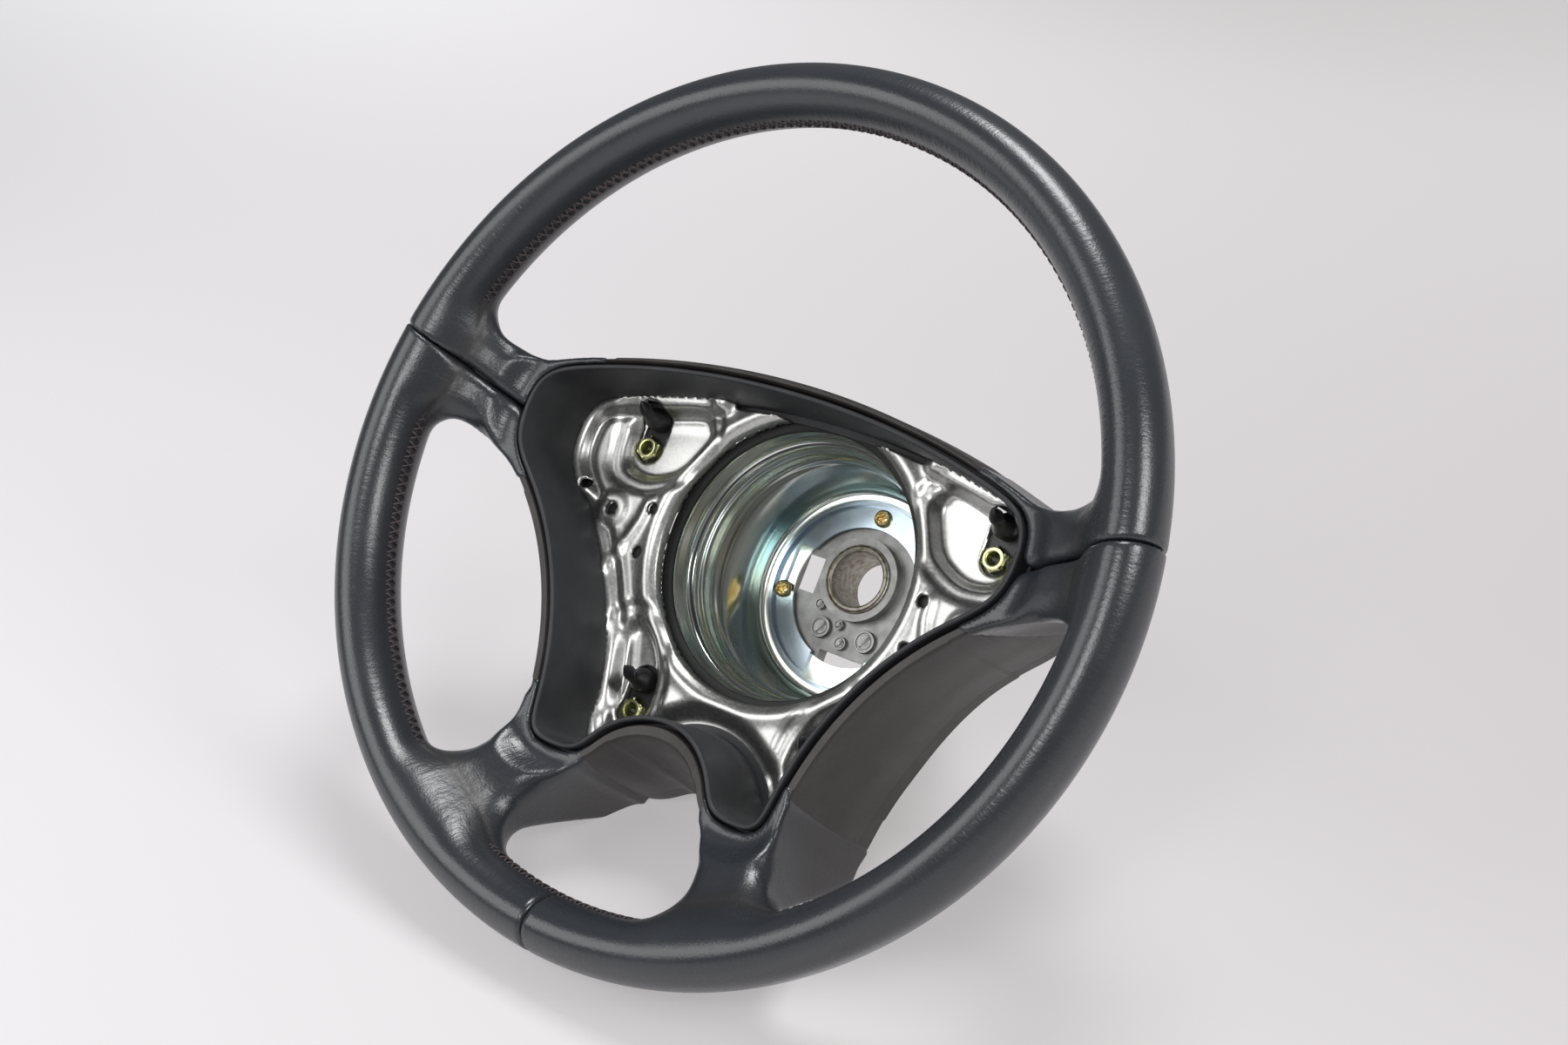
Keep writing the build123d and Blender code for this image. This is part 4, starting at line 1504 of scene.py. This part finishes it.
    def edge(self, x: Array, z: Array) -> Array:
        """Distance outside the sheet's cut shape, seen along the column.

        Args:
            x: First coordinates of the places.
            z: Second coordinates.

        Returns:
            The distances, negative inside.
        """
        side = np.abs(x)
        open_top = ease(*self.open_side, side) * ease(*self.open_above, z)
        cut = self.outline.distance(x, z) - self.edge_bite + self.top_gap * open_top
        cut = np.maximum(cut, self.mouth + 0.2 - np.hypot(x, z - self.place.pot_z))
        for start, end in self.slots():
            cut = np.maximum(cut, self.slot_radius - segment_distance(side, z, start, end))
        for hole_x, hole_z, radius in self.holes:
            cut = np.maximum(cut, radius - np.hypot(side - hole_x, z - hole_z))
        return cut

    def sheet(self, points: Array) -> Array:
        """Field of the sheet: half its thickness each side of the middle, within the cut shape.

        Args:
            points: Points to measure.

        Returns:
            The field.
        """
        x, z = points[:, 0], points[:, 2]
        away = np.abs(points[:, 1] - self.height_map.read(x, z)) / self.slope_map.read(x, z)
        return smooth_max(away - self.thickness / 2, self.edge(x, z), self.edge_round)

    def hole_shade_drum(self, x: float, z: float, radius: float) -> Shape:
        """Black drum behind a hole, painted shade seen through it: a shallow closed drum.

        Args:
            x: Place of the hole.
            z: Its height.
            radius: Its radius.

        Returns:
            Points and faces.
        """
        rear, wide = self.middle + self.thickness / 2, radius + 1.2
        rows = [(0.05, rear + 0.2), (radius + 1.0, rear + 0.2), (wide, rear + 0.6), (wide, rear + 3.0),
                (0.05, rear + 3.0)]
        return revolved(np.array(rows)[::-1], (x, z), 24)

    def build(self) -> None:
        """Makes the sheet and the black drums of painted shade behind its holes."""
        hole_shade_drums = [self.hole_shade_drum(side * x, z, radius) for x, z, radius in self.holes for side in (-1.0, 1.0)]
        make_piece(self.place, "hole_shades", joined(hole_shade_drums),
                   self.hole_shade_finish.material(), sharp_angle=40.0)
        shape = Net(pitch=self.pitch, rounds=3).shape(self.sheet, self.net_low, self.net_high)
        make_piece(self.place, "carrier_sheet", shape, self.finish.material(),
                   replaced=("carrier_plate",), sharp_angle=70.0)


@dataclass
class PotAssembly:
    """Deep plated can with its beads, a black ring of painted shade at its mouth, the serrated bush and the
    gold screws at its base.
    """

    place: WheelFrame
    pot_finish: Plated = Plated("plated_can", ((0.56, 0.7, 0.71), (0.8, 0.82, 0.74), (0.66, 0.76, 0.8)),
                                roughness=0.15, scale=24.0, grain=0.0)
    bush_finish: Plated = Plated("bush_steel", ((0.16, 0.11, 0.07), (0.34, 0.32, 0.27), (0.44, 0.43, 0.4)),
                                 roughness=0.42, scale=380.0, grain=0.05)
    screw_finish: Plated = Plated("yellow_plating", ((0.62, 0.46, 0.2), (0.8, 0.68, 0.36)),
                                  roughness=0.22, scale=150.0)
    # Near-black ring at the can's mouth: painted shade in the gap between the sheet's roll and the can's lip.
    mouth_shade_finish: Moulding = Moulding("mouth_shade_ring", (0.008, 0.008, 0.009), (0.014, 0.014, 0.015),
                                     roughness=0.6)
    wall: float = 1.2
    line_softness: float = 0.9
    can_line: tuple[Pair, ...] = (
        (64.6, 74.0), (62.2, 74.0), (61.4, 75.2), (61.0, 82.0), (60.2, 84.4), (58.4, 85.6), (57.4, 87.2),
        (57.2, 90.0), (57.9, 92.4), (57.8, 95.0), (56.4, 97.2), (55.4, 99.6), (55.2, 103.0), (54.5, 105.6),
        (54.0, 110.0), (52.6, 131.0), (51.8, 134.6), (50.0, 136.6), (47.0, 137.1), (34.0, 137.1))
    mouth_shade_line: tuple[Pair, ...] = (
        (60.9, 72.2), (61.4, 71.7), (66.0, 71.7), (66.4, 72.2), (66.4, 73.6), (60.9, 73.6))
    bush_line: tuple[Pair, ...] = (
        (13.0, 158.5), (13.0, 147.0), (13.0, 146.0), (13.0, 134.0), (13.4, 132.2), (14.2, 131.7),
        (15.2, 131.9), (15.7, 132.6), (16.0, 131.9), (16.5, 132.1), (16.7, 133.2), (16.5, 134.6),
        (16.0, 135.4), (16.0, 158.5))
    bush_teeth: int = 64
    tooth_height: float = 0.45
    toothed_to: Pair = (13.1, 146.5)
    screw_line: tuple[Pair, ...] = (
        (0.05, 132.4), (0.5, 132.4), (1.0, 132.42), (1.5, 132.45), (2.0, 132.5), (2.5, 132.6), (3.0, 132.8),
        (3.6, 133.2), (4.1, 133.9), (4.3, 134.8), (4.3, 135.4), (2.0, 135.5), (2.0, 141.0), (0.05, 141.0))
    screw_circle: float = 38.5
    screw_turns: Triple = (90.0, 192.0, -12.0)
    cross_depth: float = 1.6
    cross_turn: float = 0.6
    cross_width: float = 0.75
    cross_end: Pair = (2.7, 2.1)
    head_to: float = 133.5

    def can(self) -> Shape:
        """The can: its inner line, smoothed, and the same line moved out by the wall, carried round the axis.

        Returns:
            Points and faces.
        """
        line = np.array(self.can_line)
        run = np.concatenate([[0], np.cumsum(np.linalg.norm(np.diff(line, axis=0), axis=1))])
        at = np.linspace(0, run[-1], 150)
        near = np.exp(-(((at[:, None] - at[None]) / self.line_softness) ** 2))
        near /= near.sum(axis=1, keepdims=True)
        inner = near @ np.stack([np.interp(at, run, line[:, axis]) for axis in (0, 1)], axis=1)
        tangent = np.gradient(inner, axis=0)
        tangent /= np.linalg.norm(tangent, axis=1)[:, None]
        outer = inner + self.wall * np.stack([tangent[:, 1], -tangent[:, 0]], axis=1)
        return revolved(np.vstack([inner, outer[::-1]])[::-1], (0.0, self.place.pot_z), 240)

    def bush(self) -> Shape:
        """Bush with a beaded front and teeth along the first part of its bore.

        Returns:
            Points and faces.
        """

        def teeth(turn: Array, profile: Array) -> Array:
            """Saw of triangles along the front part of the bore.

            Args:
                turn: Turns round the axis, as a column.
                profile: The bush's (radius, station) rows.

            Returns:
                Change of the radius.
            """
            toothed = (profile[:, 0] < self.toothed_to[0]) & (profile[:, 1] < self.toothed_to[1])
            saw = np.abs(np.mod(turn * self.bush_teeth / (2 * math.pi), 1.0) - 0.5)
            return toothed * self.tooth_height * (2 * saw - 0.4)

        return revolved(np.array(self.bush_line), (0.0, 0.0), self.bush_teeth * 4, teeth)

    def screw(self, turn: float) -> Shape:
        """Pan head with a cross pressed into it, on a short shank.

        Args:
            turn: Place on the screw circle, in degrees.

        Returns:
            Points and faces.
        """
        at = math.radians(turn)
        centre = (self.screw_circle * math.cos(at), self.place.pot_z + self.screw_circle * math.sin(at))
        points, faces = revolved(np.array(self.screw_line), centre, 64)
        u, v = points[:, 0] - centre[0], points[:, 2] - centre[1]
        turned = (u + self.cross_turn * v, v - self.cross_turn * u)
        cross = np.maximum(*(bell(away, self.cross_width) for away in turned))
        cross = cross * ease(*self.cross_end, np.hypot(u, v))
        points[:, 1] += self.cross_depth * cross * (points[:, 1] < self.head_to)
        return points, faces

    def build(self) -> None:
        """Makes the can, the bush, the black ring of painted shade at the mouth and the screws."""
        make_piece(self.place, "plated_can", self.can(), self.pot_finish.material(),
                   replaced=("impact_pot",), sharp_angle=60.0)
        make_piece(self.place, "serrated_bush", self.bush(), self.bush_finish.material(),
                   replaced=("column_bush",), sharp_angle=40.0)
        # Black ring of painted shade at the can's mouth.
        mouth_shade = revolved(np.array(self.mouth_shade_line), (0.0, self.place.pot_z), 160)
        make_piece(self.place, "mouth_shade_ring", mouth_shade, self.mouth_shade_finish.material(),
                   sharp_angle=40.0)
        screws = joined([self.screw(turn) for turn in self.screw_turns])
        make_piece(self.place, "cross_screws", screws, self.screw_finish.material(),
                   replaced=("clamp_screws",), sharp_angle=35.0)


@dataclass
class HubMarks:
    """Raised round bosses on the hub's front face, each with a sunk ring and a slot."""

    place: WheelFrame
    finish: Plated = Plated("hub_marks", ((0.28, 0.28, 0.275), (0.46, 0.46, 0.45)),
                            roughness=0.46, scale=160.0, grain=0.08)
    face: float = 137.1
    slot_depth: float = 0.5
    slot_turn: float = 0.7
    slot_width: float = 0.6
    bosses: tuple[Triple, ...] = ((-12.0, -26.7, 5.2), (13.0, -26.5, 5.4), (1.0, -31.0, 3.2),
                                  (-16.5, -16.5, 2.6), (-3.0, -23.0, 2.4))

    def boss(self, x: float, z: float, radius: float) -> Shape:
        """Low round boss with a sunk ring and a slot across its middle.

        Args:
            x: Place of the boss.
            z: Its height.
            radius: Its radius.

        Returns:
            Points and faces.
        """
        shares = [(0.4, -0.5), (0.62, -0.5), (0.68, -0.1), (0.76, -0.1), (0.82, -0.8), (0.94, -0.8),
                  (1.0, -0.4), (1.0, 1.0)]
        rows = [(radius * share, self.face + step) for share, step in shares]
        rows = [(0.05, self.face - 0.5), *rows, (0.05, self.face + 1.0)]
        points, faces = revolved(np.array(rows), (x, z), 48)
        u, v = points[:, 0] - x, points[:, 2] - z
        middle = ease(radius * 0.6, radius * 0.5, np.hypot(u, v))
        slot = bell(u - self.slot_turn * v, self.slot_width) * middle
        points[:, 1] += self.slot_depth * slot * (points[:, 1] < self.face)
        return points, faces

    def build(self) -> None:
        """Makes the bosses as one piece."""
        shape = joined([self.boss(*boss) for boss in self.bosses])
        make_piece(self.place, "hub_marks", shape, self.finish.material(), sharp_angle=40.0)


@dataclass
class GuideSleeves:
    """Hexagon sleeves in the pads: a turned collar on a hexagon, with a bore."""

    place: WheelFrame
    finish: Plated = Plated("sleeve_plating", ((0.5, 0.5, 0.24), (0.68, 0.7, 0.4)),
                            roughness=0.24, scale=160.0)
    line: tuple[Pair, ...] = (
        (2.6, 83.0), (2.6, 69.0), (3.1, 68.1), (3.7, 67.9), (4.6, 68.0), (4.9, 68.5), (5.1, 68.9),
        (5.25, 69.6), (5.25, 74.5), (5.0, 75.0), (3.9, 75.2), (3.9, 83.0))
    collar: float = 5.05

    @staticmethod
    def spots() -> list[tuple[str, float, float]]:
        """Lists the four sleeves.

        Returns:
            Name and place of each.
        """
        pads = (("upper", UPPER_SPOT), ("lower", LOWER_SPOT))
        sides = (("right", 1), ("left", -1))
        return [(f"{pad}_{name}", side * x, z) for pad, (x, z) in pads for name, side in sides]

    def sleeve(self, x: float, z: float) -> Shape:
        """One sleeve; the rows outside the collar take the hexagon's radius, flat to flat over cosine.

        Args:
            x: Place of the sleeve.
            z: Its height.

        Returns:
            Points and faces.
        """

        def corners(turn: Array, profile: Array) -> Array:
            """Growth from the flat's distance to the hexagon's corner."""
            away = np.mod(turn + math.pi / 6, math.pi / 3) - math.pi / 6
            return (profile[:, 0] > self.collar) * profile[:, 0] * (1 / np.cos(away) - 1)

        return revolved(np.array(self.line), (x, z), 72, corners)

    def build(self) -> None:
        """Makes the four sleeves."""
        material = self.finish.material()
        for name, x, z in self.spots():
            make_piece(self.place, "sleeve_" + name, self.sleeve(x, z), material,
                       replaced=("guide_sleeve_" + name,), sharp_angle=35.0)


@dataclass
class PegInsulators:
    """Black insulators: a foot plate behind each pad and a peg with a barbed, bent tip."""

    place: WheelFrame
    finish: Moulding = Moulding("insulator_plastic", (0.012, 0.012, 0.013), (0.02, 0.021, 0.022),
                                roughness=0.32)
    foot_radius: float = 8.0
    foot_depth: Pair = (73.0, 77.0)
    foot_round: float = 0.8
    bend: float = 3.4
    bend_from: float = 66.0
    bend_run: float = 13.6
    peg_line: tuple[Pair, ...] = (
        (0.05, 76.8), (5.4, 76.8), (5.5, 68.0), (5.1, 65.6), (4.0, 63.6), (3.2, 61.0), (3.0, 58.4),
        (3.3, 57.4), (2.9, 56.2), (1.7, 54.0), (0.8, 52.6), (0.05, 52.4))

    def foot(self, x: float, z: float) -> Shape:
        """Foot plate: two half circles joined by straight sides, with rounded edges, closed front and back.

        Args:
            x: Place of the sleeve.
            z: Its height.

        Returns:
            Points and faces.
        """
        turn = np.linspace(0, 2 * math.pi, 48, endpoint=False)
        front, rear = self.foot_depth
        soft = self.foot_round
        rows = np.array([(-soft, rear), (0.0, rear - soft), (0.0, front + soft), (-soft, front)])
        radius = self.foot_radius + rows[:, :1]
        lift = np.where(np.sin(turn) > 0, PEG_RISE, 0.0)
        station = np.broadcast_to(rows[:, 1:], (len(rows), len(turn)))
        points = np.stack([x + radius * np.cos(turn), station, z + lift + radius * np.sin(turn)], axis=2)
        ring = np.arange(len(turn))[None]
        faces = [strip_faces(len(rows), len(turn), False, True)[:, ::-1], ring, ring[:, ::-1] + 3 * len(turn)]
        return points.reshape(-1, 3), faces

    def peg(self, x: float, z: float) -> Shape:
        """Turned peg whose tip bends upwards by the square of the distance.

        Args:
            x: Place of the sleeve.
            z: Its height.

        Returns:
            Points and faces.
        """
        points, faces = revolved(np.array(self.peg_line), (x, z + PEG_RISE), 32)
        forward = np.clip((self.bend_from - points[:, 1]) / self.bend_run, 0.0, 1.0)
        points[:, 2] += self.bend * forward**2
        return points, faces

    def build(self) -> None:
        """Makes the four insulators."""
        material = self.finish.material()
        for name, x, z in GuideSleeves.spots():
            shape = joined([self.peg(x, z), self.foot(x, z)])
            make_piece(self.place, "insulator_" + name, shape, material,
                       replaced=("peg_insulator_" + name,), sharp_angle=40.0)


@dataclass
class RimStitches:
    """Crossed threads sewn along the inside of the rim, left out where the spokes join it."""

    place: WheelFrame
    padding: Padding
    finish: Moulding = Moulding("sewing_thread", (0.05, 0.04, 0.042), (0.085, 0.064, 0.066),
                                roughness=0.6)
    count: int = 236
    clearance: float = 2.5
    half_row: float = 3.6
    half_lean: float = 1.7
    thread: float = 0.42
    lift: float = 0.2
    bow: float = 0.25
    end_drop: float = 0.7
    knots: int = 6
    sides: int = 6

    def middles(self) -> tuple[Array, Array]:
        """Middle lines of the threads.

        A thread runs over the oval tube from one side of the groove to the other while it leans along the
        rim, bowed up in the middle and let into the leather at its ends.

        Returns:
            Points of each line, and the direction into the wheel at each.
        """
        padding = self.padding
        turn = np.linspace(0, 2 * math.pi, self.count, endpoint=False)
        probe = padding.rim_radius - padding.rim_half_width - self.clearance
        level = np.full(self.count, padding.stitch_station)
        spots = np.stack([probe * np.cos(turn), level, probe * np.sin(turn)], axis=1)
        turn = turn[padding.whole(spots) > 1.0]
        share = np.linspace(-1, 1, self.knots)
        lean = np.repeat([1.0, -1.0], len(turn))[:, None]
        at = np.tile(turn, 2)[:, None] + lean * share * self.half_lean / probe
        station = np.broadcast_to(padding.stitch_station + share * self.half_row, at.shape)
        out = padding.rim_half_width * np.sqrt(1 - (station / padding.rim_half_depth) ** 2)
        height = self.lift + self.bow * (1 - share**2) - self.end_drop * (np.abs(share) > 0.9)
        radius = padding.rim_radius - out - height
        middle = np.stack([radius * np.cos(at), station, radius * np.sin(at)], axis=2)
        inward = np.stack([-np.cos(at), np.zeros_like(at), -np.sin(at)], axis=2)
        return middle, inward

    def build(self) -> None:
        """Makes all threads as one mesh: a small circle is carried along each middle line and capped."""
        middle, inward = self.middles()
        ahead = np.gradient(middle, axis=1)
        ahead /= np.linalg.norm(ahead, axis=2, keepdims=True)
        across = np.cross(inward, ahead)
        turn = np.linspace(0, 2 * math.pi, self.sides, endpoint=False)[:, None]
        ring = inward[:, :, None] * np.cos(turn) + across[:, :, None] * np.sin(turn)
        points = (middle[:, :, None] + self.thread * ring).reshape(-1, 3)
        start = np.arange(len(middle))[:, None, None] * self.knots * self.sides
        faces = (strip_faces(self.knots, self.sides, False, True)[None] + start).reshape(-1, 4)
        caps = np.stack([np.arange(self.sides)[::-1], np.arange(self.sides) + (self.knots - 1) * self.sides])
        caps = (caps[None] + start).reshape(-1, self.sides)
        make_piece(self.place, "rim_stitches", (points, [faces, caps]), self.finish.material())


@dataclass
class Studio:
    """Pale table with a painted glow, soft lamps and the camera; a lamp is a name, a place in metres, a size
    and a power.
    """

    place: WheelFrame
    focal_pixels: float = 2109.6
    image_width: float = 1800.0
    sensor: float = 36.0
    camera_at: Triple = (430.61, -608.68, -51.59)
    camera_right: Triple = (0.79742, 0.48449, 0.35970)
    camera_up: Triple = (-0.26506, -0.25426, 0.93010)
    table_up: Triple = (0.0, -0.63, 0.777)
    table_drop: float = 158.9
    table_size: float = 14.0
    table_colour: Triple = (0.42, 0.41, 0.42)
    # Painted light on the table: its emitted glow, brighter to the left and far away, dimmer to the right.
    glow_left: Triple = (1.0, 0.985, 1.0)
    glow_right: Triple = (0.4, 0.36, 0.35)
    glow_far: Triple = (0.55, 0.55, 0.56)
    glow_strength: float = 0.48
    glow_across: Triple = (0.8, 0.48, 0.36)
    glow_across_span: Pair = (-0.75, 0.65)
    glow_away: Pair = (0.78, 0.63)
    glow_away_span: Pair = (0.05, 1.25)
    backdrop: Triple = (0.76, 0.745, 0.755)
    sky_colour: Triple = (0.8, 0.8, 0.82)
    sky_strength: float = 0.22
    lamps: tuple[tuple[str, Triple, float, float], ...] = (
        ("key", (-0.74, -0.98, 0.72), 0.95, 7.0), ("top", (0.0, 0.5, 1.5), 0.6, 15.0),
        ("side", (1.3, 0.1, 0.8), 0.5, 8.0), ("front", (0.5, -1.2, 1.0), 0.6, 8.0))

    def camera(self) -> None:
        """Places the camera by its right and up directions."""
        right, up = Vector(self.camera_right), Vector(self.camera_up)
        data = bpy.data.cameras.new("view")
        data.sensor_width = self.sensor
        data.lens = self.focal_pixels / self.image_width * self.sensor
        data.clip_end = 20.0
        item = bpy.data.objects.new("view", data)
        turn = Matrix((right, up, right.cross(up))).transposed().to_4x4()
        turn.translation = Vector(self.place.metres(np.array(self.camera_at)))
        item.matrix_world = turn
        bpy.context.scene.collection.objects.link(item)
        bpy.context.scene.camera = item

    def directions(self) -> tuple[Vector, Vector, Vector, Vector]:
        """The rim's centre, and the table's directions to the right, away and up.

        Returns:
            The four vectors, in metres.
        """
        up = Vector(self.table_up).normalized()
        right = Vector((1, 0, 0))
        return Vector(self.place.metres(np.zeros(3))), right, up.cross(right), up

    def table(self) -> None:
        """Makes the table: a large disc under the rim's lowest point."""
        centre, right, away, up = self.directions()
        centre = np.array(centre - up * self.table_drop * MM)
        turn = np.linspace(0, 2 * math.pi, 96, endpoint=False)[:, None]
        ring = centre + (np.array(right) * np.cos(turn) + np.array(away) * np.sin(turn)) * self.table_size / 2
        mesh = bpy.data.meshes.new("table")
        mesh.from_pydata(ring.tolist(), [], [tuple(range(len(ring)))])
        mesh.materials.append(self.table_finish())
        item = bpy.data.objects.new("table", mesh)
        bpy.context.scene.collection.objects.link(item)

    def table_finish(self) -> bpy.types.Material:
        """Builds the table's material.

        Returns:
            Pale board with painted light: it glows, less to the right and more far away, and is see-through
                from below.
        """
        graph = Graph("table_top")
        x, y, z = graph.axes(graph.place())
        across = x * self.glow_across[0] + y * self.glow_across[1] + z * self.glow_across[2]
        far = y * self.glow_away[0] + z * self.glow_away[1]
        glow = graph.mix(across.step(*self.glow_across_span), self.glow_left, self.glow_right)
        glow = graph.mix(far.step(*self.glow_away_span), glow, self.glow_far, "ADD")
        graph.finish(Base_Color=self.table_colour, Roughness=0.35, Emission_Color=glow,
                     Emission_Strength=self.glow_strength)
        shown = Wire(graph, graph.shader.outputs[0])
        clear = graph.node("ShaderNodeBsdfTransparent")
        facing = graph.node("ShaderNodeNewGeometry", output="Backfacing")
        blend = graph.node("ShaderNodeMixShader", inputs={0: facing, 1: shown, 2: clear})
        graph.feed(graph.tree.nodes["Material Output"].inputs["Surface"], blend)
        return graph.material

    def lamp(self, name: str, at: Triple, size: float, power: float) -> None:
        """Adds a soft square lamp aimed at the rim's centre.

        Args:
            name: Name of the lamp.
            at: Its place from the rim's centre in the table's directions, in metres.
            size: Its side in metres.
            power: Its power in watts.
        """
        centre, right, away, up = self.directions()
        spot = centre + right * at[0] + away * at[1] + up * at[2]
        data = bpy.data.lights.new(name, "AREA")
        data.size = size
        data.energy = power
        item = bpy.data.objects.new(name, data)
        item.location = spot
        item.rotation_euler = (centre - spot).to_track_quat("-Z", "Y").to_euler()
        bpy.context.scene.collection.objects.link(item)

    def sky(self) -> None:
        """Fills the world with soft light and shows a pale backdrop to the camera."""
        world = bpy.data.worlds.new("studio")
        bpy.context.scene.world = world
        world.use_nodes = True
        tree = world.node_tree
        light = tree.nodes["Background"]
        light.inputs["Color"].default_value = (*self.sky_colour, 1.0)
        light.inputs["Strength"].default_value = self.sky_strength
        seen = tree.nodes.new("ShaderNodeBackground")
        seen.inputs["Color"].default_value = (*self.backdrop, 1.0)
        rays = tree.nodes.new("ShaderNodeLightPath")
        blend = tree.nodes.new("ShaderNodeMixShader")
        tree.links.new(rays.outputs["Is Camera Ray"], blend.inputs[0])
        tree.links.new(light.outputs[0], blend.inputs[1])
        tree.links.new(seen.outputs[0], blend.inputs[2])
        tree.links.new(blend.outputs[0], tree.nodes["World Output"].inputs["Surface"])

    def build(self) -> None:
        """Makes the whole studio."""
        self.camera()
        self.table()
        for lamp in self.lamps:
            self.lamp(*lamp)
        self.sky()
        bpy.context.scene.view_settings.view_transform = "Standard"


@dataclass
class CarriedNodes:
    """Finishes for the CAD nodes that are shown as they are."""

    steel: Plated = Plated("frame_steel", ((0.03, 0.03, 0.032), (0.045, 0.045, 0.048)),
                           roughness=0.5, scale=20.0, metal=0.0)
    ring: Plated = Plated("plated_ring", ((0.36, 0.45, 0.52), (0.5, 0.56, 0.6)), roughness=0.2, scale=30.0)
    cast: Plated = Plated("cast_metal", ((0.24, 0.24, 0.235), (0.42, 0.42, 0.41)),
                          roughness=0.5, scale=160.0, grain=0.08)

    def build(self) -> None:
        """Assigns a finish to each node, chosen by how its name starts."""
        steel, ring, cast = (finish.material() for finish in (self.steel, self.ring, self.cast))
        groups = {"rim_ring": steel, "spider": steel, "clamp_ring": ring, "hub_casting": cast}
        for name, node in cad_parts.items():
            for start, material in groups.items():
                if name.startswith(start):
                    node.data.materials.clear()
                    node.data.materials.append(material)


def main() -> None:
    """Builds the wheel and its studio in order."""
    logging.basicConfig(level=logging.INFO, format="%(name)s %(message)s")
    place = WheelFrame.read()
    outline = CavityOutline()
    Studio(place).build()
    CarriedNodes().build()
    padding = Padding(place, outline)
    padding.build()
    RimStitches(place, padding).build()
    CavityWalls(place, outline, (padding.upper_lobe, padding.lower_lobe)).build()
    CarrierSheet(place, outline).build()
    PotAssembly(place).build()
    HubMarks(place).build()
    GuideSleeves(place).build()
    PegInsulators(place).build()


if __name__ == "__main__":
    main()
